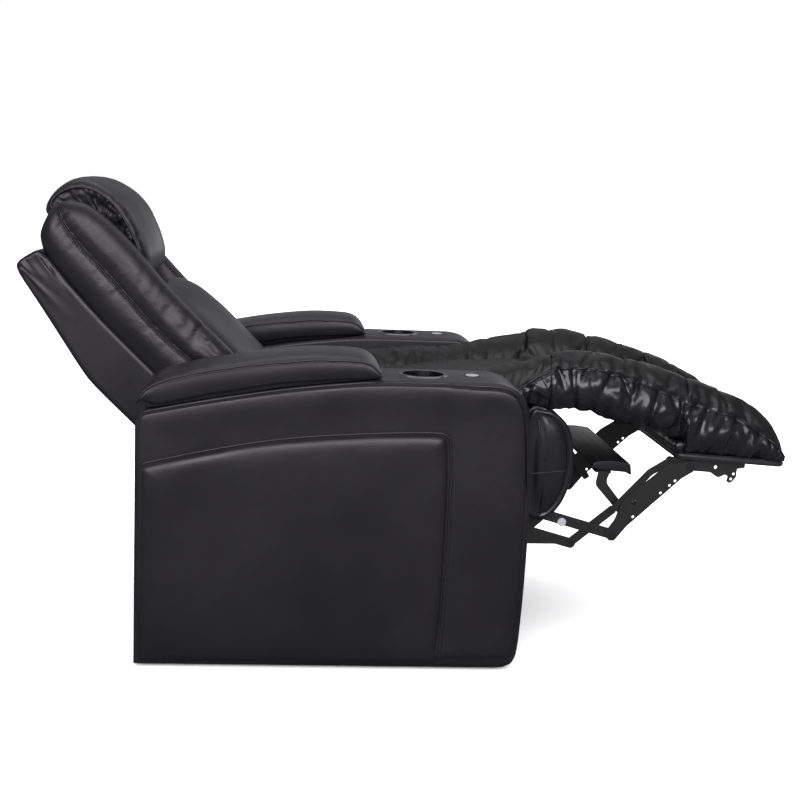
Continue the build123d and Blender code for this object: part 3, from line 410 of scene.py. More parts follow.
def build_plies(tree, entry, end):
    """Plywood: long grain streaks, and thin layers seen at the edges."""
    where = entry.outputs["Vector"]
    split = add(tree, "ShaderNodeSeparateXYZ", {0: where})
    long_way = add(tree, "ShaderNodeCombineXYZ", {
        0: math_node(tree, "MULTIPLY", split.outputs[0], 0.08), 1: split.outputs[1],
        2: split.outputs[2]})
    streaks = add(tree, "ShaderNodeTexNoise", {"Vector": long_way.outputs[0], "Scale": 130.0,
                                               "Detail": 5.0})
    tree.links.new(streaks.outputs[0], end.inputs["Mask"])


VECTOR_IN = ("Vector", "NodeSocketVector", "INPUT", None)
HEIGHT_OUT = ("Height", "NodeSocketFloat", "OUTPUT", None)
MASK_OUT = ("Mask", "NodeSocketFloat", "OUTPUT", None)
HIDE_GRAIN = node_group("hide_grain", (VECTOR_IN, HEIGHT_OUT,
                                       ("Gloss shift", "NodeSocketFloat", "OUTPUT", None)),
                        build_grain)
SLACK_CREASES = node_group("slack_creases", (VECTOR_IN, HEIGHT_OUT), build_creases)
DUST_AND_RUB = node_group("dust_and_rub", (VECTOR_IN, MASK_OUT), build_wear)
PAINT_PEEL = node_group("paint_peel", (VECTOR_IN, HEIGHT_OUT), build_peel)
TURNED_LINES = node_group("turned_lines", (VECTOR_IN, HEIGHT_OUT), build_turned)
PLY_STREAKS = node_group("ply_streaks", (VECTOR_IN, MASK_OUT), build_plies)


def start_material(name, color, roughness, metallic=0.0, specular=0.5):
    """New material with its constants set. Returns it with its tree, shader and coordinates."""
    material = bpy.data.materials.new(name)
    material.use_nodes = True
    tree = material.node_tree
    shader = tree.nodes["Principled BSDF"]
    shader.inputs["Base Color"].default_value = (*color, 1.0)
    shader.inputs["Roughness"].default_value = roughness
    shader.inputs["Metallic"].default_value = metallic
    shader.inputs["Specular IOR Level"].default_value = specular
    where = add(tree, "ShaderNodeTexCoord").outputs["Object"]
    return material, tree, shader, where


def grouped(tree, group, where):
    """Places a shared node group in a material, fed with the coordinates."""
    node = add(tree, "ShaderNodeGroup", node_tree=group)
    tree.links.new(where, node.inputs["Vector"])
    return node


def raise_surface(tree, shader, heights):
    """Chain of bumps into the shader's normal. heights: (socket, strength, distance in metres)."""
    normal = None
    for height, strength, distance in heights:
        bump = add(tree, "ShaderNodeBump", {"Strength": strength, "Distance": distance,
                                            "Height": height})
        if normal is not None:
            tree.links.new(normal, bump.inputs["Normal"])
        normal = bump.outputs["Normal"]
    tree.links.new(normal, shader.inputs["Normal"])


def leather(name, color=(0.0026, 0.0024, 0.0029), roughness=0.38, specular=0.45, slack=0.35,
            sheen=(0.97, 0.92, 1.0)):
    """Black finished cowhide. slack is how strongly the small creases show, sheen the faint
    violet of its top coat."""
    material, tree, shader, where = start_material(name, color, roughness, 0.0, specular)
    shader.inputs["Specular Tint"].default_value = (*sheen, 1.0)
    grain = grouped(tree, HIDE_GRAIN, where)
    creases = grouped(tree, SLACK_CREASES, where)
    rub = grouped(tree, DUST_AND_RUB, where)
    gloss = math_node(tree, "ADD", grain.outputs["Gloss shift"], roughness)
    tree.links.new(gloss, shader.inputs["Roughness"])
    tone = add(tree, "ShaderNodeMix", {0: math_node(tree, "MULTIPLY", rub.outputs[0], 0.25)},
               data_type="RGBA")
    tone.inputs[6].default_value = (*color, 1.0)
    tone.inputs[7].default_value = (*[3.0 * c for c in color], 1.0)
    tree.links.new(tone.outputs[2], shader.inputs["Base Color"])
    raise_surface(tree, shader, ((creases.outputs[0], slack, 0.004),
                                 (grain.outputs["Height"], 0.22, 0.0005)))
    return material


def painted(name, color, roughness, metallic=0.0, specular=0.5):
    """Sprayed or moulded black with orange peel and a little dust."""
    material, tree, shader, where = start_material(name, color, roughness, metallic, specular)
    peel = grouped(tree, PAINT_PEEL, where)
    rub = grouped(tree, DUST_AND_RUB, where)
    tone = add(tree, "ShaderNodeMix", {0: math_node(tree, "MULTIPLY", rub.outputs[0], 0.3)},
               data_type="RGBA")
    tone.inputs[6].default_value = (*color, 1.0)
    tone.inputs[7].default_value = (*[min(1.0, 2.5 * c + 0.01) for c in color], 1.0)
    tree.links.new(tone.outputs[2], shader.inputs["Base Color"])
    raise_surface(tree, shader, ((peel.outputs[0], 0.12, 0.0006),))
    return material


def bright(name, color, roughness):
    """Bare or plated steel with fine turning lines."""
    material, tree, shader, where = start_material(name, color, roughness, 1.0)
    lines = grouped(tree, TURNED_LINES, where)
    raise_surface(tree, shader, ((lines.outputs[0], 0.08, 0.0003),))
    return material


def wood(name, pale, dark, roughness=0.6):
    """Plywood: streaks between a pale and a dark tone."""
    material, tree, shader, where = start_material(name, pale, roughness)
    streaks = grouped(tree, PLY_STREAKS, where)
    tone = add(tree, "ShaderNodeMix", {0: streaks.outputs[0]}, data_type="RGBA")
    tone.inputs[6].default_value = (*dark, 1.0)
    tone.inputs[7].default_value = (*pale, 1.0)
    tree.links.new(tone.outputs[2], shader.inputs["Base Color"])
    raise_surface(tree, shader, ((streaks.outputs[0], 0.2, 0.0006),))
    return material


HIDE = leather("black_leather")
TAUT_HIDE = leather("black_leather_taut", roughness=0.36, slack=0.14)
GLOSSY_HIDE = leather("black_leather_gathered", roughness=0.30, specular=0.6, slack=0.07,
                      sheen=(0.95, 0.95, 1.0))
# duller, less reflective copy of the same leather for the pad tops: painted shade, because the tops
# lie darker under the light, not wear
SHADED_TOP_HIDE = leather("black_leather_shaded_top", roughness=0.46, specular=0.32, slack=0.10,
                     sheen=(1.0, 0.98, 1.0))
CORD_HIDE = leather("piping_leather", color=(0.005, 0.0048, 0.0054), roughness=0.30, slack=0.0)
THREAD = painted("black_thread", (0.010, 0.010, 0.011), 0.6)
VINYL = painted("black_vinyl_wrap", (0.006, 0.006, 0.007), 0.38)
LINING = painted("black_lining_cloth", (0.004, 0.004, 0.004), 0.9, specular=0.1)
STEEL_PAINT = painted("black_painted_steel", (0.0055, 0.0055, 0.006), 0.40, specular=0.4)
DARK_RIVET = bright("blackened_rivet", (0.05, 0.05, 0.054), 0.40)
CHROME = bright("dark_chromed_steel", (0.17, 0.17, 0.18), 0.17)
BUTTON_GREY = painted("pale_button", (0.17, 0.17, 0.18), 0.35)
PLASTIC = painted("black_plastic", (0.007, 0.007, 0.0075), 0.5)
PLY = wood("birch_plywood", (0.34, 0.23, 0.13), (0.22, 0.13, 0.065))
STAINED_PLY = wood("stained_plywood", (0.020, 0.017, 0.015), (0.010, 0.008, 0.007))
WHITE_DISC = painted("white_disc", (0.19, 0.195, 0.22), 0.5)

FINISHES = {"leather": TAUT_HIDE, "black_steel": STEEL_PAINT, "pin_steel": DARK_RIVET,
            "chrome": CHROME, "plywood": PLY, "black_plastic": PLASTIC}
OWN_FINISH = {"foot_board": VINYL, "lid_board_left": LINING, "lid_board_right": LINING,
              "seat_webbing": VINYL, "control_button_left": BUTTON_GREY,
              "control_button_right": BUTTON_GREY, "button_bezels": PLASTIC,
              "seat_side_rails": STAINED_PLY, "seat_end_rails": STAINED_PLY,
              "back_frame": STAINED_PLY}


def finish_solids():
    """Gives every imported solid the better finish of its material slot."""
    slots = {part["node"]: part["material_slot"] for part in frame["record"]["subparts"]}
    for node, solid in frame["nodes"].items():
        finish = OWN_FINISH.get(node, FINISHES[slots[node]])
        for slot in solid.material_slots:
            slot.material = finish


# ---------------------------------------------------------------- seat, calf and foot pads
# columns of half a section: middle panel, bolster, side panel, underside
PANEL, ROLL, SIDE, UNDER = 26, 33, 19, 8
AT_GROOVE, AT_PIPING = PANEL - 1, PANEL - 1 + ROLL
GROOVE_Y = 182.0
BOLSTER_Y = (182, 188, 208, 232, 254, 265, 268)
GROOVE_DEPTH = ((-215, 560, 640, 700), (6.0, 6.0, 4.5, 3.0))
# slack of the side panels, kept small where the arms stand beside the pad in any position
SIDE_BULGE = ((-215, 236, 256, 300, 380, 430, 560, 700, 800, 860),
              (1.0, 1.0, 4.5, 7.0, 8.5, 17.0, 17.0, 16.0, 11.0, 5.0))
# the cross seams run askew: how far forward they are at the left side, along the pad
SKEW = ((200, KNEE_X, CALF_SEAM_X, FOOT_SEAM_X, 760), (0, 13, 8, 13, 0))


def pad_sections(x, crest, centre, edge, low, bulge):
    """Half sections of a bolstered pad, one at every x, from the middle outwards and back under
    it. The middle panel is a low crown that dives into a sewn groove, the bolster rises from it
    and rolls over to the side piping, and the side panel swells by half a sine down to the
    underside. Returns y and z."""
    groove = np.interp(x, *GROOVE_DEPTH)
    flat = np.linspace(0, GROOVE_Y, PANEL)
    middle = smooth((0, 60, 128, 158, 175, GROOVE_Y),
                    np.stack([centre + k for k in (3.5, 3.5, 2.5, -groove * 0.4, -groove * 1.2,
                                                   -2 * groove)], -1), flat)
    t = np.linspace(0, 1, ROLL + 1)[1:]
    knots = (0, 0.07, 0.28, 0.52, 0.78, 0.92, 1.0)
    rise = np.stack([centre - 2 * groove, centre + 0.2 * (crest - centre) - groove,
                     crest + 0.22 * (centre - crest), crest, edge + 0.82 * (crest - edge),
                     edge + 0.42 * (crest - edge), edge], -1)
    bolster = smooth(knots, rise, t)
    across = np.concatenate([flat, smooth(knots, BOLSTER_Y, t)])
    t = np.linspace(0, 1, SIDE + 1)[1:]
    side = edge[:, None] + (low - edge)[:, None] * t
    y_side = SEAT_HALF - 1.0 + bulge * np.sin(pi * t) ** 0.75 - 0.9 * bulge * t ** 2.5
    t = np.linspace(0, 1, UNDER + 1)[1:]
    y_under = (SEAT_HALF - 1.0 - 0.9 * bulge) * (1 - t)
    y = np.concatenate([np.tile(across, (len(x), 1)), y_side, y_under], 1)
    z = np.concatenate([middle, bolster, side, np.tile(low[:, None], (1, UNDER))], 1)
    return y, z


def slacken(x, y, z, bulge, seed, amount):
    """One half of a pad with its slack leather sunk in. On the side panel short and long gathers
    run down from the piping, over slow waves and crumples. On the bolster puckers run from the
    piping and from the groove. The lower hem of the side is uneven."""
    along = np.broadcast_to(x[:, None], y.shape)
    run = np.concatenate([np.zeros((len(x), 1)), np.cumsum(np.hypot(
        np.diff(y, axis=1), np.diff(z, axis=1)), 1)], 1)
    from_pipe = np.abs(run - run[:, AT_PIPING:AT_PIPING + 1])
    from_groove = np.abs(run - run[:, AT_GROOVE:AT_GROOVE + 1])
    y, z = y.copy(), z.copy()

    sides = slice(AT_PIPING, AT_PIPING + SIDE + 1)
    at, down = along[:, sides], from_pipe[:, sides]
    belly = np.sin(pi * np.linspace(0, 1, SIDE + 1)) ** 0.6
    wave = (gathers(at, down, seed, 17, 3.0, 4.0, 28, 0.6)
            + gathers(at, down, seed + 2, 36, 9.5, 8.0, 62, 0.5)
            + 3.0 * wander(at + 0.25 * down, seed + 7, 60) * belly
            + 5.0 * (crumple(at, down * 0.45, seed + 8, 48) - 0.5) * belly)
    y[:, sides] -= amount * wave * np.clip(bulge / 12.0, 0.25, 1.2)

    rolls = slice(AT_GROOVE, AT_PIPING + 1)
    at, down, up = along[:, rolls], from_pipe[:, rolls], from_groove[:, rolls]
    fade = np.sin(pi * np.linspace(0, 1, ROLL + 1)) ** 0.4
    wave = (gathers(at, down, seed + 3, 24, 3.4, 7, 24, 0.5)
            + gathers(at, up, seed + 5, 30, 3.0, 8, 26, 0.5)
            + 1.6 * wander(at, seed + 9, 90)
            + 3.5 * (crumple(at, up * 0.4, seed + 13, 60) - 0.5)
            + gathers(at, down, seed + 15, 14, 2.2, 3.2, 16, 0.8))
    z[:, rolls] -= amount * wave * fade

    hem = slice(AT_PIPING + 14, AT_PIPING + SIDE + 1)
    z[:, hem] += 3.0 * amount * wander(along[:, hem], seed + 11, 34)
    return y, z


def pad_grid(x, crest, centre, edge, low, drop, folds, soft, ends):
    """Rings of a bolstered pad: a slack half section and its differently creased mirror image at
    every x. Where ends says so, the top rounds down into the cross seam by a quarter circle, and
    the creases fade out towards it."""
    free = np.ones(len(x))
    for end, near in zip(ends, (x - x[0], x[-1] - x)):
        if end:
            down = drop * (1 - np.sqrt(1 - (1 - np.clip(near / 6.0, 0, 1)) ** 2))
            crest, centre = crest - down, centre - 0.8 * down
            free = free * ease(near / 16.0)
    bulge = np.interp(x, *SIDE_BULGE)[:, None]
    y, z = pad_sections(x, crest, centre, edge, low, bulge)
    amount = soft * free[:, None]
    left_y, left_z = slacken(x, y, z, bulge, folds + 1, amount)
    right_y, right_z = slacken(x, y, z, bulge, folds, amount)
    ring_y = np.concatenate([left_y, -right_y[:, -2:0:-1]], 1)
    ring_z = np.concatenate([left_z, right_z[:, -2:0:-1]], 1)
    ring_x = x[:, None] + np.interp(x, *SKEW)[:, None] * ring_y / SEAT_HALF
    return np.stack([ring_x, ring_y, ring_z], -1)


def shade_top(piece, piping):
    """Gives the faces between the two pipings a duller copy of the same leather: painted shade for
    tops that lie darker under the light.
    """
    mesh = piece.data
    mesh.materials.append(SHADED_TOP_HIDE)
    middle, normal = np.empty((2, len(mesh.polygons) * 3))
    mesh.polygons.foreach_get("center", middle)
    mesh.polygons.foreach_get("normal", normal)
    middle, normal = middle.reshape(-1, 3), normal.reshape(-1, 3)
    line = np.interp(middle[:, 0], piping[:, 0], piping[:, 2])
    # the middle panel lies lower than the piping, and counts by its place and its upward faces
    panel = (np.abs(middle[:, 1]) < (GROOVE_Y + 20) / 1000) & (normal[:, 2] > 0.2)
    # these top faces take the duller copy of the leather as painted shade
    shaded = (middle[:, 2] > line - 0.001) | panel
    mesh.polygons.foreach_set("material_index", shaded.astype(np.int32))


def leather_pad(name, node, body, knots, crest, centre, edge, low, seams=(), folds=11,
                soft=1.0, cap=7.0, ends=(True, True), drop=6.0):
    """A section of the long pad, blown up between its seams, with piping along both sides. Crest,
    centre and edge are the heights of bolster, middle panel and piping at the knots along x, and
    low is the underside's (x, z). Returns the piece, its rings and its two pipings."""
    x = graded(knots[0], knots[-1], 6.0)
    tops = [smooth(knots, values, x) for values in (crest, centre, edge)]
    for seam in seams:
        dip = 6.0 * np.exp(-np.abs(x - seam) / 3.2)
        tops = [top - dip * share for top, share in zip(tops, (1.0, 0.8, 0.04))]
    under = smooth([k for k, _ in low], [z for _, z in low], x)
    grid = pad_grid(x, *tops, under, drop, folds, soft, ends)
    # flat ends: the pad is hollow-topped, so each end goes straight down to its underside
    ends_down = grid[[0, -1]].copy()
    for end, floor in zip(ends_down, under[[0, -1]]):
        end[:, 2] = floor + 0.03 * (end[:, 2] - floor)
    piece = skin(name, np.concatenate([ends_down[:1], grid, ends_down[1:]]), GLOSSY_HIDE, body)
    shade_top(piece, metres(grid[:, AT_PIPING]))

    columns = grid.shape[1]
    lines = grid[:, [AT_PIPING, columns - AT_PIPING, AT_GROOVE, columns - AT_GROOVE]]
    cross = grid[[int(np.argmin(np.abs(x - s))) for s in seams] + [0, -1]]
    fixed = metres(np.vstack([lines.reshape(-1, 3), cross.reshape(-1, 3)]))
    x_rings = metres(grid[:, 0])[:, 0]

    def sewn(points):
        """True on the seam lines and close above the underside."""
        near = np.zeros(len(points), bool)
        for start in range(0, len(points), 2000):
            block = points[start:start + 2000]
            near[start:start + 2000] = np.min(
                np.linalg.norm(block[:, None] - fixed[None], axis=2), axis=1) < 0.0008
        return near | (points[:, 2] < np.interp(points[:, 0], x_rings, under * 0.001) + 0.004)

    puff(piece, sewn, pressure=3.0, growth=0.06, cap=cap)
    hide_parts(node)
    ropes = [tube(f"{name}_piping_{label}", grid[:, column] + np.array([0, side * 1.4, 0.6]), 2.6,
                  CORD_HIDE, body)
             for (label, side), column in zip(SIDES, (AT_PIPING, columns - AT_PIPING))]
    return piece, grid, ropes


def build_seat():
    """Seat cushion, with a fine double seam across its middle panel."""
    knots = (-215, -201, -120, 0, 143, 239, 290, KNEE_X + 0.3)
    grid = leather_pad(
        "seat_cushion_leather", "seat_cushion", "seat", knots,
        (552, 574, 588, 599, 613, 633, 647, 653), (514, 530, 541, 562, 580, 586, 588, 585),
        (516, 534, 546, 556, 566, 579, 609, 622),
        ((-215, 443.5), (238, 443.5), (252, 547.5), (KNEE_X, 535)), folds=21,
        soft=0.95, cap=5.0, ends=(False, True))[1]
    x_seam = 152.0
    row = int(np.argmin(np.abs(grid[:, 0, 0] - x_seam)))
    across = grid[row, :PANEL - 2]
    full = np.vstack([across[::-1], across[1:] * np.array([1, -1, 1])])
    for k, offset in enumerate((-3.0, 3.0)):
        stitches(f"seat_cushion_stitches_{k}", full + np.array([offset, 0, 1.2]), THREAD, "seat")


def build_calf():
    """Calf pad, sewn across once."""
    knots = (KNEE_X - 0.3, 342, 397, 462, 477, CALF_SEAM_X, 493, 530, 590, 621, FOOT_SEAM_X + 0.3)
    pad, _, ropes = leather_pad(
        "calf_pad_leather", "calf_pad", "seat", knots,
        (653, 659, 661, 653, 650, 647, 647, 639, 622, 614, 607),
        (585, 592, 598, 594, 591, 588, 588, 583, 569, 561, 552),
        (622, 628, 629, 617, 612, 609, 608, 597, 574, 562, 554),
        ((KNEE_X, 535), (382, 536), (452, 516), (580, 485), (FOOT_SEAM_X, 471)),
        seams=(CALF_SEAM_X,), folds=31, soft=1.2, cap=8.0)
    for thing in (pad, *ropes):
        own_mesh(thing)


def build_foot():
    """Foot pad, which tapers to the front edge of its board."""
    knots = (FOOT_SEAM_X - 0.3, 649, 690, 745, 796, 826, 847, BOARD_FRONT_X - 4)
    leather_pad(
        "foot_pad_leather", "foot_pad", "footrest", knots,
        (607, 605, 591, 566, 538, 505, 467, 445), (551, 559, 551, 528, 503, 476, 455, 441),
        (552, 556, 541, 524, 492, 472, 452, 438),
        ((FOOT_SEAM_X, board_top(FOOT_SEAM_X) + 0.6),
         (BOARD_FRONT_X - 4, board_top(BOARD_FRONT_X) + 0.6)), folds=41,
        soft=1.0, cap=7.0, ends=(True, False))


def build_heel():
    """Rounded rear edge of the foot pad, which hangs down behind the board: one outline in x and
    z, drawn in by a quarter circle at both ends."""
    outline = ((609, 443.4), (603, 447), (601, 458), (606, 467), (616, 470.5), (636, 467),
               (652, 460), (652, 443.4))
    loop = ring(outline, 60, 2)
    y = graded(-264, 264, 9.0, 2.0, 12.0)
    near = np.minimum(y + 264, 264 - y)
    inset = 7 * (1 - np.sqrt(1 - (1 - np.clip(near / 8, 0, 1)) ** 2)) + 1.4 * wander(y, 44, 60)
    heel = skin("foot_pad_heel", pillow_rings(loop, list(zip(y, inset))), GLOSSY_HIDE, "footrest")


def build_board_edging():
    """Rounded wrap along all four edges of the foot board: a cord round a rectangle whose corners
    are quarter circles."""
    corner = np.linspace(0, pi / 2, 9)
    loop = []
    for x, y, turn in ((841, 238, 0), (628, 238, 1), (628, -238, 2), (841, -238, 3)):
        angle = corner + turn * pi / 2
        loop += list(zip(x + 16 * np.cos(angle), y + 16 * np.sin(angle)))
    loop = np.array(loop)
    path = np.stack([loop[:, 0], loop[:, 1], board_top(loop[:, 0]) - 7.0], -1)
    tube("foot_board_edging", path, 7.4, VINYL, "footrest", closed=True, sides=16,
         upright=(0, 0, 1))


# ---------------------------------------------------------------- apron and middle board
def pillow_rings(loop, levels):
    """Rings across y of an outline in x and z, each drawn in square to it. levels: (y, inset)."""
    normal = outward(loop)
    rows = []
    for y, inset in levels:
        flat = loop - normal * inset
        rows.append(np.stack([flat[:, 0], np.full(len(flat), y), flat[:, 1]], -1))
    return np.stack(rows)


def rounded_levels(low, high, radius, steps=5):
    """Levels across y whose edges are rounded with one radius."""
    angle = np.linspace(0, pi / 2, steps)
    first = sorted((low + radius * (1 - cos(a)), radius * (1 - sin(a))) for a in angle)
    return first + [(high - (y - low), inset) for y, inset in reversed(first)]


APRON = ((252, 546), (316, 533.6), (352, 506), (368, 462), (372, 405), (358, 330), (318, 279),
         (274, 279), (264, 300), (252, 330))
# rings of a cheek, outline to middle: share drawn to the middle, y, inset square to the outline
CHEEK = ((0, 255.6, 1.0), (0, 258, 0), (0, 263, 0), (0, 266, 1.4), (0, 268.0, 4.0), (0, 268.6, 8),
         (0, 267.8, 11.5), (0, 265.6, 14), (0, 266.4, 16.5), (0, 269.4, 21), (0.08, 271.2, 24),
         (0.2, 272.4, 24), (0.38, 273, 24), (0.58, 273, 24), (0.8, 273, 24))


def build_cheek(name, side):
    """Cheek of full height at one end of the apron: a raised border, a sewn valley 14 mm inside
    the outline and a full, crumpled middle, with piping in the valley and a seam across. Towards
    the rear the border stays flat, because the arm is close there."""
    loop = ring(APRON, 180, 3)
    normal = outward(loop)
    centre = loop.mean(0)
    rows = []
    for share, y, inset in CHEEK:
        flat = loop - normal * inset
        flat = flat + (centre - flat) * share
        slack = ease((inset - 3) / 20)
        border = ease((loop[:, 0] - 292) / 24)
        full = 268.4 - 9.0 * (1 - ease(inset / 8.0))
        depth = full + (y - full) * np.maximum(border, ease(share / 0.6)) if inset > 0 else y
        wave = (3.0 * (crumple(flat[:, 0], flat[:, 1] * 0.5, 62, 120) - 0.55)
                + gathers(flat[:, 1] * 0.3 + flat[:, 0], np.clip(540 - flat[:, 1], 0, 400),
                          58, 34, 2.4, 13.0, 90, 0.35))
        rows.append(np.stack([flat[:, 0], side * (depth - wave * slack), flat[:, 1]], -1))
    cheek = skin(f"apron_cheek_{name}", np.stack(rows), GLOSSY_HIDE, "seat")
    valley = loop - normal * 14.0
    valley = np.roll(valley, -int(np.argmin(valley[:, 0])), axis=0)
    valley = valley[valley[:, 0] > 312]
    path = np.stack([valley[:, 0], np.full(len(valley), side * 266.6), valley[:, 1]], -1)
    tube(f"apron_cheek_piping_{name}", path, 2.0, CORD_HIDE, "seat")
    x = np.linspace(262, 352, 24)
    seam = np.stack([x, np.full(24, side * 272.2), 387 + 0.11 * (x - 262)], -1)
    tube(f"apron_cheek_seam_{name}", seam, 1.6, CORD_HIDE, "seat")


def build_apron():
    """Padded apron under the knees: a core and two shoulders beside it, cut off above the space
    that the folding middle board needs, and a cheek at each end."""
    core = [(x, max(z, 339.0)) for x, z in APRON]
    middle = skin("apron_core", pillow_rings(ring(core, 120, 2), rounded_levels(-221, 221, 3)),
                  HIDE, "seat")
    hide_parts("front_panel")
    upper = ring([(x, max(z, 363.0)) for x, z in APRON], 100, 2)
    for name, side in SIDES:
        levels = rounded_levels(*sorted((side * 221.2, side * 255.2)), 1.0, 3)
        shoulder = skin(f"apron_shoulder_{name}", pillow_rings(upper, levels), HIDE, "seat")
        build_cheek(name, side)


def build_middle_board():
    """Wrapped board between the hangers, with a lip along its front edge."""
    outline = ((424, 389.6), (424, 409), (470, 412.5), (504, 407.8), (512.5, 406.3), (514, 400),
               (516.2, 384), (516.5, 380.6), (513, 380.2), (508, 382.5), (500, 386.8))
    board = skin("middle_board_wrap", pillow_rings(ring(outline, 140, 1),
                                                   rounded_levels(-223.5, 223.5, 1.6)),
                 TAUT_HIDE, "main_link")
    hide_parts("mid_board")


# ---------------------------------------------------------------- backrest
def stacked(loop, levels):
    """Rings across y of an outline in the reclined plane. levels: (y, inset square to the
    outline, share drawn towards the outline's middle)."""
    normal = outward(loop)
    middle = loop.mean(0)
    rows = []
    for y, inset, share in levels:
        flat = loop - normal * inset
        flat = flat + (middle - flat) * share
        rows.append(reclined(flat[:, 0], flat[:, 1], y))
    return np.stack(rows)


def mirrored(levels):
    """Levels from the outer side to the middle, then the same again to the other side."""
    return list(levels) + [(-y, *rest) for y, *rest in reversed(list(levels))]


def build_shell():
    """Leather box at the rear of the back. Creases fan out from its top corners: a sine of the
    angle round the corner that fades with the distance from it."""
    outline = ((-66, -20), (-183, -20), (-185, 100), (-186, 225), (-186, 345), (-182, 381),
               (-159, 477), (-135, 579), (-127, 622), (-115, 648), (-84, 643), (-50, 633),
               (-64, 524), (-70, 374))
    loop = ring(outline, 260, 2)
    side = [(263.0, 11, share) for share in (0.95, 0.8, 0.65, 0.5, 0.38, 0.28, 0.19, 0.12, 0.06)]
    side += [(262.9, 11, 0.0), (262.2, 5.5, 0), (260, 2, 0), (256, 0.3, 0), (250, 0, 0),
             (200, 0, 0), (120, -1.5, 0), (40, -2.5, 0)]
    grid = stacked(loop, mirrored(side))
    # creases that run down from the top corner on both sides
    corner = reclined(-112.0, 640.0, 0.0)
    for row in range(14):
        for end, sign in ((row, -1), (len(grid) - 1 - row, 1)):
            away = grid[end][:, [0, 2]] - corner[[0, 2]]
            far = np.linalg.norm(away, axis=1)
            angle = np.arctan2(away[:, 1], away[:, 0])
            grid[end, :, 1] += sign * 1.7 * np.exp(-(far / 85) ** 2) * np.sin(angle * 18)
    shell = skin("back_shell_leather", grid, TAUT_HIDE, "backrest")
    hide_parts("back_shell")


# how far forward the front edge of a wing stands, from its foot to its top; the near wing of the
# seat in the photo is fuller than the far one
FULL_FRONT = (60, 71, 80, 81, 92, 86, 71, 46, 18)
SLIM_FRONT = (60, 68, 71, 66, 76, 84, 73, 48, 18)


def wing_grid(side):
    """Rings of a wing, each in a plane that tips from square at the foot to flat at the rounded
    top. The rear gusset is flat, the front panel is full and puckered, and a welt divides them on
    the outer face. Returns the rings and the welt's two edges."""
    t = np.concatenate([np.linspace(0, 0.8, 96), np.linspace(0.8, 1.0, 44)[1:]])
    rear_t = (0, 0.45, 0.7, 0.82, 0.9, 0.96, 1.0)
    rear_d = smooth(rear_t, (-78, -78, -68, -60, -48, -24, 17), t)
    rear_s = smooth(rear_t, (-20, 374, 524, 598, 638, 662, 677), t)
    front_t = (0, 0.12, 0.3, 0.5, 0.72, 0.84, 0.91, 0.97, 1.0)
    front_d = smooth(front_t, FULL_FRONT if side < 0 else SLIM_FRONT, t)
    front_s = smooth(front_t, (-20, 60, 178, 360, 540, 618, 650, 672, 677), t)
    thick = 31.0 * np.sqrt(np.clip(1 - (np.clip(t - 0.80, 0, 1) / 0.2) ** 2.4, 0.012, 1))
    power = 2.0 / (3.6 - 1.2 * ease((t - 0.75) / 0.25))[:, None]
    mid_d, mid_s = (rear_d + front_d) / 2, (rear_s + front_s) / 2
    half_d, half_s = (front_d - rear_d) / 2, (front_s - rear_s) / 2
    width = np.hypot(half_d, half_s)[:, None]
    welt_d = smooth((-20, 100, 240, 298, 356, 417, 468, 517, 555, 596, 636, 677),
                    (16, 10, 4, -0.8, -0.7, 3.1, 6.8, 9.3, 9.8, 13, 20, 37), mid_s)
    welt = np.clip((welt_d - mid_d) / np.maximum(half_d, 1.0), -0.7, 0.7)[:, None]
    # columns stand closer together on both sides of the welt
    beside = np.array([14, 10, 7.5, 5.5, 4, 3, 2, 1, 0, -1, -2, -3, -4, -5.5, -7.5, -10, -14.0])
    close = np.clip(welt + beside / np.maximum(width, 50.0), -0.97, 0.97)
    close = np.arccos(np.sign(close) * np.abs(close) ** (1 / power))
    share = np.linspace(0, 1, 36)[None, :-1]
    phi = np.concatenate([close[:, :1] * share, close,
                          (close[:, -1:] + (pi - close[:, -1:]) * share)[:, 1:],
                          np.broadcast_to(np.linspace(pi, 2 * pi, 61)[:-1], (len(t), 60))], 1)
    e = np.sign(np.cos(phi)) * np.abs(np.cos(phi)) ** power
    f = np.sign(np.sin(phi)) * np.abs(np.sin(phi)) ** power
    outer = np.clip(f, 0, 1) ** 0.5 * (np.abs(e) < 0.97)
    gap = (e - welt) * width                          # millimetres ahead of the welt
    groove = -3.8 * np.exp(-(gap / 2.0) ** 2) * outer
    groove -= 0.9 * (np.exp(-((gap - 6) / 1.5) ** 2) + np.exp(-((gap + 6) / 1.5) ** 2)) * outer
    full = 5.0 * ease(gap / 34.0) * (1 - ease((gap - 50) / 45)) * outer
    slump = 2.4 * ease(-gap / 30.0) * (1 - ease((-gap - 34) / 40)) * outer
    run = np.broadcast_to(mid_s[:, None], gap.shape)
    from_front = np.clip((1 - e), 0, 2) * width + 14 * (1 - np.abs(f))
    low_part = ease((500 - run) / 200)
    slant = run + 0.55 * from_front
    pucker = gathers(slant, np.abs(from_front - 16), 61, 15, 3.0, 4.4, 26, 0.3)
    pucker += gathers(slant, np.abs(from_front - 30), 63, 47, 4.0, 12, 30, 0.3)
    pucker = pucker * (gap > 0) * (0.12 + 0.88 * low_part)
    small = gathers(run, np.abs(gap), 67, 16, 2.0, 3.6, 14, 0.5) * outer
    swell = groove + full + slump - pucker - small * (np.abs(gap) > 3)
    half_y = thick[:, None] + swell * outer
    y = side * (WING_MID_Y + f * np.where(f > 0, half_y, thick[:, None]))
    shrink = 1 - np.clip(pucker, 0, 12) / 320 * (e > 0.5)
    d = mid_d[:, None] + half_d[:, None] * e * shrink
    s = mid_s[:, None] + half_s[:, None] * e * shrink
    grid = reclined(d, s, y)
    at = welt[:, 0]
    face = (1 - np.abs(at) ** (2 / power[:, 0])) ** (power[:, 0] / 2)
    edge = reclined(mid_d + half_d * at, mid_s + half_s * at,
                    side * (WING_MID_Y + face * (thick - 3.2)))
    return grid, edge


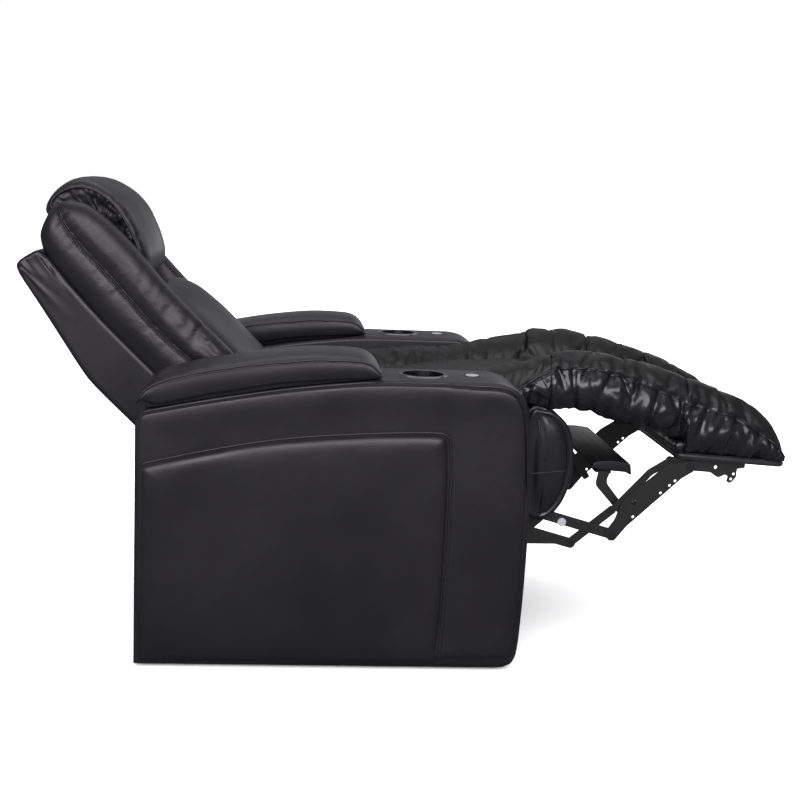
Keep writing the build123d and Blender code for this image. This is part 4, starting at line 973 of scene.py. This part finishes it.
def build_wing(name, side):
    """Wing with its welt and a row of stitches on each side of it."""
    grid, edge = wing_grid(side)
    wing = skin(f"back_wing_{name}_leather", grid, HIDE, "backrest")
    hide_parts(f"back_wing_{name}")
    line = edge[4:-12]
    forward = np.array([cos(RECLINE), 0, sin(RECLINE)])
    for label, offset in (("front", 5.5), ("rear", -5.5)):
        stitches(f"back_wing_{name}_stitches_{label}",
                 line + forward * offset + np.array([0, side * 5.6, 0]), THREAD, "backrest")
    tube(f"back_wing_{name}_welt", line + np.array([0, side * 1.8, 0]), 1.4,
         CORD_HIDE, "backrest")


def build_lumbar():
    """Lumbar pad: one outline in the reclined plane, drawn in towards both sides as a crown."""
    outline = ((-60, -14), (40, -14), (76, -8), (93, 30), (101, 84), (105, 126), (106, 172),
               (107, 240), (105, 290), (99, 345), (84, 383), (60, 411), (-60, 414))
    loop = ring(outline, 200, 2)
    levels = [(202.5, 44, 0.6), (202.6, 41, 0.0), (200, 35, 0), (194, 28, 0), (184, 22.5, 0),
              (168, 17.5, 0), (146, 13.0, 0), (110, 7.0, 0), (60, 1.8, 0), (20, 0, 0)]
    pad = skin("lumbar_leather", stacked(loop, mirrored(levels)), HIDE, "backrest")
    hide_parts("lumbar_pad")


def build_upper_pad():
    """Flat pad behind the headrest, with rounded sides."""
    outline = ((-60, 418), (28, 430), (30, 640), (8, 650), (-40, 648), (-58, 600))
    levels = [(202.5, 8, 0.6), (202.4, 6, 0), (199, 2, 0), (190, 0, 0), (60, 0, 0)]
    pad = skin("upper_pad_leather", stacked(ring(outline, 120, 2), mirrored(levels)), HIDE,
               "backrest")
    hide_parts("back_upper_pad")


HEAD_OUTLINE = ((38.5, 444), (38.5, 640), (0, 664), (-9, 680), (-4, 692), (18, 702), (42, 707),
                (66, 706), (87, 701), (106, 690), (121, 671), (131.5, 645), (138.5, 616),
                (140, 590), (136.5, 561), (125, 526), (112, 496), (97, 470), (85, 456), (70, 445),
                (54, 440))
HEAD_END = ((44, 458), (44, 640), (22, 668), (16, 681), (22, 690), (36, 694), (51, 693), (67, 689),
            (88, 677), (102, 662), (113, 640), (118, 617), (119, 594), (115.5, 571), (110.5, 551),
            (105, 531), (97.5, 511), (89, 494), (80, 478), (70, 464), (58, 455))


def build_headrest():
    """Full headrest roll. Its ends are drawn in to an arched piping, with crumpled thin leather
    inside it."""
    loop, end = ring(HEAD_OUTLINE, 240, 2), ring(HEAD_END, 240, 2)
    normal = outward(loop)
    middle = end.mean(0)
    along = np.linspace(0, 790, len(loop), endpoint=False)
    # (y, share of the way from the full outline to the end's outline)
    roll = ((HEAD_HALF, 1.0), (201.3, 0.86), (200.2, 0.69), (197.8, 0.52), (193.6, 0.38),
            (187.5, 0.27), (179, 0.175), (167, 0.095), (152, 0.04), (134, 0.01), (116, 0.0))
    # (y, share of the way from the end's outline to its middle)
    gusset = ((190, 0.9), (190, 0.7), (190.5, 0.55), (191.5, 0.42), (193, 0.32), (195, 0.24),
              (196.5, 0.17), (197.5, 0.11), (198, 0.06), (199.5, 0.025))
    rows = []
    for y, share in gusset:
        flat = end + (middle - end) * share
        wave = 13.0 * (crumple(flat[:, 0], flat[:, 1], 77, 34) - 0.5) * ease(share / 0.12)
        rows.append((flat, y + wave))
    for y, share in roll:
        flat = loop + (end - loop) * share
        near = 4.0 * share * (1 - share)
        wave = 3.0 * (crumple(flat[:, 0], flat[:, 1], 81, 60) - 0.5) * near
        folds = gathers(along, np.full(len(along), HEAD_HALF - y), 83, 34, 3.2, 6.5, 20, 0.8)
        folds = folds * (0.25 + 0.75 * ease((600 - flat[:, 1]) / 120))
        flat = flat - normal * (folds * ease((1 - share) / 0.5) * ease(share / 0.03))[:, None]
        rows.append((flat, y + wave))
    for y, swell in ((100, 1.0), (50, 1.5), (15, 2.0)):
        rows.append((loop + normal * swell, np.full(len(loop), float(y))))
    rows += [(flat, -y) for flat, y in reversed(rows)]
    grid = np.stack([reclined(flat[:, 0], flat[:, 1], y) for flat, y in rows])
    head = skin("headrest_leather", grid, HIDE, "headrest")
    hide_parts("headrest_pad")
    for name, side in SIDES:
        path = reclined(end[:, 0], end[:, 1], side * (HEAD_HALF + 0.2))
        tube(f"headrest_piping_{name}", path, 2.4, CORD_HIDE, "headrest", closed=True)


# ---------------------------------------------------------------- arms and lids
ARM_OUTLINE = ((-582, 7), (-582, 300), (-582, 520), (-579, 534), (-570, 543.5), (-556, 547.5),
               (-440, 572), (-290, 598), (-190, 611), (-90, 620.5), (60, 621), (150, 621),
               (176, 618.5), (197, 610), (213, 596), (223, 578), (229, 545), (234, 480),
               (238.5, 400), (239, 340), (238, 240), (234, 120), (230, 48), (222, 18), (206, 7))


def outline_distance(points, loop):
    """Shortest distance of points from a closed loop of points."""
    best = np.full(points.shape[:-1], 1e9)
    flat = points.reshape(-1, 2)
    out = best.reshape(-1)
    following = np.roll(loop, -1, axis=0)
    span = following - loop
    length2 = np.sum(span ** 2, axis=1)
    for start in range(0, len(flat), 1000):
        block = flat[start:start + 1000]
        t = np.clip(np.sum((block[:, None] - loop) * span, -1) / length2, 0, 1)
        foot = loop + t[..., None] * span
        out[start:start + 1000] = np.min(np.linalg.norm(block[:, None] - foot, axis=-1), axis=1)
    return out.reshape(points.shape[:-1])


def side_rings(loop, spine, shares):
    """Rings of an upright face: from the outline in towards a level spine inside it."""
    foot = np.stack([np.clip(loop[:, 0], *spine[0]), np.clip(loop[:, 1], *spine[1])], -1)
    return np.stack([loop + (foot - loop) * share for share in shares])


def build_arm(name, side):
    """One arm cover: a crowned strip over deck, front and rear, sewn to two side faces with
    rounded edges. The outer face swells from its seam as a pillow. The places of the cup holder
    and of the storage well are left open."""
    loop = ring(ARM_OUTLINE, 420, 2)
    spine = ((-430, 60), (240, 250))
    near_edge = np.array([0, 1.2, 2.6, 4, 5.2, 6.2, 7.2, 8.8, 9.8, 10.6, 11.4, 12.4, 14, 16.5, 20,
                          25, 31, 40, 54]) / 170
    flat = side_rings(loop, spine, np.concatenate([near_edge, [0.42, 0.55, 0.7, 0.85, 1.0]]))
    # the seam runs close to the top edge and further in down the front
    sewn = 5.4 + 5.2 * ease((loop[:, 0] - 20) / 110)
    deep = outline_distance(flat, loop)
    bottom = flat[..., 1] < 30
    radius = 9.0
    over = np.clip(radius - deep, 0, radius)
    fall = radius - np.sqrt(radius ** 2 - over ** 2)
    seam = 6.0 * np.exp(-((deep - sewn) / 1.3) ** 2)
    pillow = 3.0 * (1 - np.exp(-np.clip(deep - sewn, 0, 200) / 7.0)) - 2.0 * ease((deep - 26) / 50)
    height = ARM_OUTER_Y + 0.9 - fall + np.where(bottom, 0.0, pillow - seam)
    outer = np.stack([flat[..., 0], height, flat[..., 1]], -1)
    inner = np.stack([flat[..., 0], 2 * ARM_MID_Y - (ARM_OUTER_Y + 0.8 - fall), flat[..., 1]], -1)
    across = np.linspace(ARM_OUTER_Y - radius, ARM_INNER_Y + radius, 34)[1:-1]
    crown = 1.6 * np.sin(pi * (across - ARM_INNER_Y) / (ARM_OUTER_Y - ARM_INNER_Y))
    normal = outward(loop)
    strip = []
    for y, lift in zip(across, crown):
        rise = np.where(loop[:, 1] > 30, lift, 0.0)[:, None]
        ring_points = loop + normal * rise
        strip.append(np.stack([ring_points[:, 0], np.full(len(loop), y), ring_points[:, 1]], -1))
    grid = np.concatenate([outer[::-1], np.stack(strip), inner])
    rows, columns = grid.shape[:2]
    faces = np.array(grid_faces(rows, columns))
    points = grid.reshape(-1, 3).copy()
    middle = points[faces].mean(1)
    top = middle[:, 2] > np.interp(middle[:, 0], (-582, -290, -90, 150), (530, 585, 608, 612))
    cup = np.hypot(middle[:, 0] - CUP_X, middle[:, 1] - ARM_MID_Y) < CUP_CUT
    well = ((np.abs(middle[:, 0] - WELL_X) < WELL_CUT[0])
            & (np.abs(middle[:, 1] - ARM_MID_Y) < WELL_CUT[1]))
    faces = faces[~(top & (cup | well))]
    points[:, 1] *= side
    cover = make_mesh(f"arm_cover_{name}", points, faces.tolist(), TAUT_HIDE, "base")


INSET_OUTLINE = ((-565, 12), (-572, 13), (-573, 20), (-573, 200), (-573, 420), (-568, 431),
                 (-556, 436), (-430, 466), (-290, 492), (-150, 505), (-20, 512), (40, 513),
                 (56, 508), (62, 494), (65.5, 420), (66, 300), (63, 160), (57, 22), (56, 13),
                 (48, 12))


def build_inset(name, side):
    """Sewn side panel: a flat pillow drawn down to the seam all round."""
    loop = ring(INSET_OUTLINE, 360, 2)
    spine = ((-420, -90), (170, 330))
    flat = side_rings(loop, spine, (0, 0.004, 0.01, 0.018, 0.03, 0.045, 0.065, 0.09, 0.13, 0.19,
                                    0.27, 0.4, 0.55, 0.7, 0.85, 1.0))
    deep = outline_distance(flat, loop)
    run = np.arange(len(loop)) * 6.0
    uneven = 0.5 * wander(run, 91 + side, 160)[None, :] * np.exp(-((deep - 18) / 16) ** 2)
    height = 473.0 + 10.5 * (1 - np.exp(-deep / 8.0)) + 0.8 * ease(deep / 70) + uneven
    face = np.stack([flat[..., 0], side * height, flat[..., 1]], -1)
    back = face[0].copy()
    back[:, 1] = side * 470.5
    grid = np.concatenate([face[::-1], back[None]])
    panel = skin(f"arm_inset_{name}_leather", grid, TAUT_HIDE, "base")
    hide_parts(f"arm_inset_{name}")
    upper = (loop[:, 1] > 20) & (loop[:, 0] > -569)
    start = int(np.argmax(upper & ~np.roll(upper, 1)))
    order = np.roll(np.arange(len(loop)), -start)
    order = order[upper[order]]
    path = loop[order] + outward(loop)[order] * 3.2
    path = np.stack([path[:, 0], np.full(len(path), side * 478.4), path[:, 1]], -1)
    tube(f"arm_inset_{name}_piping", path, 2.7, CORD_HIDE, "base")


def build_lid(name, side):
    """Lid pad: crowned top panel over a side band, with piping between them. Every section has
    its piping height, its crown above that, and a hem that hangs beside the lid's board."""
    half = 92.5
    x = graded(-579.5, -81.5, 6.0, 1.6, 36.0)
    wide = np.ones((len(x), 1))
    pipe = smooth((-579.5, -577, -570, -546, -492, -395, -291, -187, -134, -102, -88, -81.5),
                  (558, 566, 577, 598, 617, 637.6, 652, 659.8, 658.9, 650, 636, 627), x)
    top = pipe + smooth((-579.5, -566, -515, -460, -332, -258, -184, -139, -108, -90, -81.5),
                        (6, 13, 9.5, 9.5, 12, 13.2, 12, 11, 9, 9, 6), x)
    low = np.minimum(deck(x) + 18.4, pipe - 0.7)
    # the band hangs down beside the board, clear of the deck, and is cut away at the hinge
    lift = np.interp(x, (-515, -429, -301, -168, -97), (8.0, 12.0, 12.0, 8.7, 4.6))
    hem = np.minimum(deck(x) + lift + 10.4 * ease((-535 - x) / 30), low)

    t = np.linspace(0, 1, 26)
    knots = (0.0, 0.3, 0.62, 0.84, 0.95, 1.0)
    y_top = wide * smooth(knots, (0.0, 32.0, 64.0, 83.0, 90.0, half), t)
    z_top = smooth(knots, np.stack([
        top, top - 0.01 * (top - low), pipe + 0.84 * (top - pipe), pipe + 0.52 * (top - pipe),
        pipe + 0.2 * (top - pipe), pipe], -1), t)
    at_piping = len(t) - 1
    t = np.linspace(0, 1, 12)[1:]
    y_band = half - 0.8 + 2.4 * np.sin(pi * t) * wide - 1.2 * t
    z_band = pipe[:, None] + (hem - pipe)[:, None] * t
    under = low + (hem - low) * ease((x + 90.0) / 2.0)
    y_low = wide * np.array([87.5, 87.0, 86.5, 60, 30, 0.0])
    z_low = np.stack([hem, hem + 0.5 * (under - hem), under, under, under, under], -1)

    y = np.concatenate([y_top, y_band, y_low], 1)
    z = np.concatenate([z_top, z_band, z_low], 1)
    panel = slice(0, at_piping + 1)
    run = np.broadcast_to(x[:, None], y.shape)[:, panel]
    z[:, panel] -= 0.8 * gathers(run, np.abs(half - y[:, panel]), 51, 46, 1.4, 9, 20)
    grid_y = np.concatenate([y, -y[:, -2:0:-1]], 1)
    grid_z = np.concatenate([z, z[:, -2:0:-1]], 1)
    grid = np.stack([np.broadcast_to(x[:, None], grid_y.shape),
                     side * (ARM_MID_Y + 0.5 + grid_y), grid_z], -1)
    pad = skin(f"lid_pad_{name}_leather", grid, TAUT_HIDE, f"lid_{name}")
    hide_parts(f"lid_pad_{name}")
    for label, column, away in (("outer", at_piping, 1), ("inner", grid.shape[1] - at_piping, -1)):
        path = grid[3:-3, column] + np.array([0, side * away * 1.0, 0.3])
        tube(f"lid_pad_{name}_piping_{label}", path, 2.4, CORD_HIDE, f"lid_{name}")


# ---------------------------------------------------------------- small fittings
def build_disc():
    """Plain white disc on the near lower link."""
    angle = np.arange(32) * 2 * pi / 32
    rows = []
    for y, radius in ((-246.45, 10.0), (-246.8, 10.0), (-246.85, 9.8)):
        rows.append(np.stack([356 + radius * np.cos(angle), np.full(32, y),
                              271 + radius * np.sin(angle)], -1))
    skin("white_disc", np.stack(rows), WHITE_DISC, "lower_link")


def build_studs():
    """Round ends that fill a hole of the outer and of the lower links, a little below their
    faces."""
    angle = np.arange(24) * 2 * pi / 24
    for label, x, z, radius, outer, inner, body in (
            ("hanger_stud", 518.0, 321.5, 6.3, 249.6, 247.2, "main_link"),
            ("link_plug", 391.5, 270.3, 3.85, 246.2, 243.3, "lower_link")):
        for name, side in SIDES:
            rows = [np.stack([x + radius * np.cos(angle), np.full(24, side * y),
                              z + radius * np.sin(angle)], -1) for y in (outer, inner)]
            skin(f"{label}_{name}", np.stack(rows), STEEL_PAINT, body)


# ---------------------------------------------------------------- studio
def build_studio():
    """Pale floor, white surroundings and three soft lights. Mirror rays see a dimmer room than
    the camera does, brighter at the far wall, so that the black leather shows its form."""
    scene = bpy.context.scene
    scene.view_settings.view_transform = "Standard"
    floor_mesh = bpy.data.meshes.new("studio_floor")
    reach = 30.0
    floor_mesh.from_pydata([(-reach, -reach, 0), (reach, -reach, 0), (reach, reach, 0),
                            (-reach, reach, 0)], [], [(0, 1, 2, 3)])
    floor = bpy.data.objects.new("studio_floor", floor_mesh)
    scene.collection.objects.link(floor)
    paper = bpy.data.materials.new("studio_paper")
    paper.use_nodes = True
    tree = paper.node_tree
    tree.nodes.remove(tree.nodes["Principled BSDF"])
    path = add(tree, "ShaderNodeLightPath")
    pale = add(tree, "ShaderNodeBsdfDiffuse", {"Color": (0.80, 0.80, 0.81, 1)})
    dim = add(tree, "ShaderNodeBsdfDiffuse", {"Color": (0.06, 0.06, 0.063, 1)})
    both = add(tree, "ShaderNodeMixShader", {0: path.outputs["Is Glossy Ray"],
                                             1: pale.outputs[0], 2: dim.outputs[0]})
    tree.links.new(both.outputs[0], tree.nodes["Material Output"].inputs["Surface"])
    floor.data.materials.append(paper)

    world = bpy.data.worlds.new("studio")
    scene.world = world
    world.use_nodes = True
    tree = world.node_tree
    tree.nodes.clear()
    path = add(tree, "ShaderNodeLightPath")
    seen = add(tree, "ShaderNodeBackground", {"Color": (1, 1, 1, 1), "Strength": 1.0})
    split = add(tree, "ShaderNodeSeparateXYZ",
                {0: add(tree, "ShaderNodeTexCoord").outputs["Generated"]})
    behind = add(tree, "ShaderNodeMapRange", {0: split.outputs[1], 1: -0.30, 2: 0.40,
                                              3: 0.07, 4: 0.17}, interpolation_type="SMOOTHSTEP")
    above = add(tree, "ShaderNodeMapRange", {0: split.outputs[2], 1: 0.15, 2: 0.75,
                                             3: 0.0, 4: 0.13}, interpolation_type="SMOOTHSTEP")
    far_back = add(tree, "ShaderNodeMapRange", {0: split.outputs[1], 1: 0.70, 2: 0.99,
                                                3: 0.0, 4: 0.80}, interpolation_type="SMOOTHSTEP")
    level_view = add(tree, "ShaderNodeMapRange", {0: split.outputs[2], 1: -0.02, 2: 0.12,
                                                  3: 1.0, 4: 0.0}, interpolation_type="SMOOTHSTEP")
    backdrop = math_node(tree, "MULTIPLY", far_back.outputs[0], level_view.outputs[0])
    sky = math_node(tree, "ADD", behind.outputs[0], above.outputs[0])
    mirrored_sky = add(tree, "ShaderNodeBackground", {
        "Color": (0.98, 0.97, 1, 1), "Strength": math_node(tree, "ADD", sky, backdrop)})
    fill = add(tree, "ShaderNodeBackground", {"Color": (1, 1, 1, 1), "Strength": 2.6})
    glossy = add(tree, "ShaderNodeMixShader", {0: path.outputs["Is Glossy Ray"],
                                               1: fill.outputs[0], 2: mirrored_sky.outputs[0]})
    final = add(tree, "ShaderNodeMixShader", {0: path.outputs["Is Camera Ray"],
                                              1: glossy.outputs[0], 2: seen.outputs[0]})
    end = add(tree, "ShaderNodeOutputWorld")
    tree.links.new(final.outputs[0], end.inputs["Surface"])

    for name, place, aim, size, power in (
            ("softbox_top", (0.1, 0.2, 2.9), (0, 0, 0), (3.6, 2.6), 28.0),
            ("softbox_front", (-0.6, -3.9, 1.9), (-0.2, 0, 0.7), (4.6, 1.7), 150.0),
            ("softbox_rear", (1.8, 2.6, 2.2), (0.2, 0, 0.4), (2.0, 1.4), 8.0)):
        light = bpy.data.lights.new(name, "AREA")
        light.shape = "RECTANGLE"
        light.size, light.size_y = size
        light.energy = power
        lamp = bpy.data.objects.new(name, light)
        lamp.location = place
        lamp.rotation_euler = (Vector(aim) - Vector(place)).to_track_quat("-Z", "Y").to_euler()
        scene.collection.objects.link(lamp)


def build_camera():
    """The photo's camera, beside the seat's right arm: turned, tipped down and rolled a little."""
    yaw, pitch, roll = radians(4.489), radians(9.491), radians(2.327)
    ahead = Vector((sin(yaw) * cos(pitch), cos(yaw) * cos(pitch), -sin(pitch)))
    level = Vector((cos(yaw), -sin(yaw), 0.0))
    upright = level.cross(ahead)
    right = cos(roll) * level + sin(roll) * upright
    up = cos(roll) * upright - sin(roll) * level
    data = bpy.data.cameras.new("photo_camera")
    data.lens, data.sensor_width = 58.5, 36.0
    camera = bpy.data.objects.new("photo_camera", data)
    place = Vector((-0.250 + SHIFT_X, -3.098, 1.022))
    camera.matrix_world = Matrix((
        (right.x, up.x, -ahead.x, place.x), (right.y, up.y, -ahead.y, place.y),
        (right.z, up.z, -ahead.z, place.z), (0, 0, 0, 1)))
    bpy.context.scene.collection.objects.link(camera)
    bpy.context.scene.camera = camera


# ---------------------------------------------------------------- build
finish_solids()
build_seat()
build_calf()
build_foot()
build_heel()
build_board_edging()
build_apron()
build_middle_board()
build_shell()
for side_name, side_sign in SIDES:
    build_wing(side_name, side_sign)
    build_arm(side_name, side_sign)
    build_inset(side_name, side_sign)
    build_lid(side_name, side_sign)
build_lumbar()
build_upper_pad()
build_headrest()
build_disc()
build_studs()
build_studio()
build_camera()
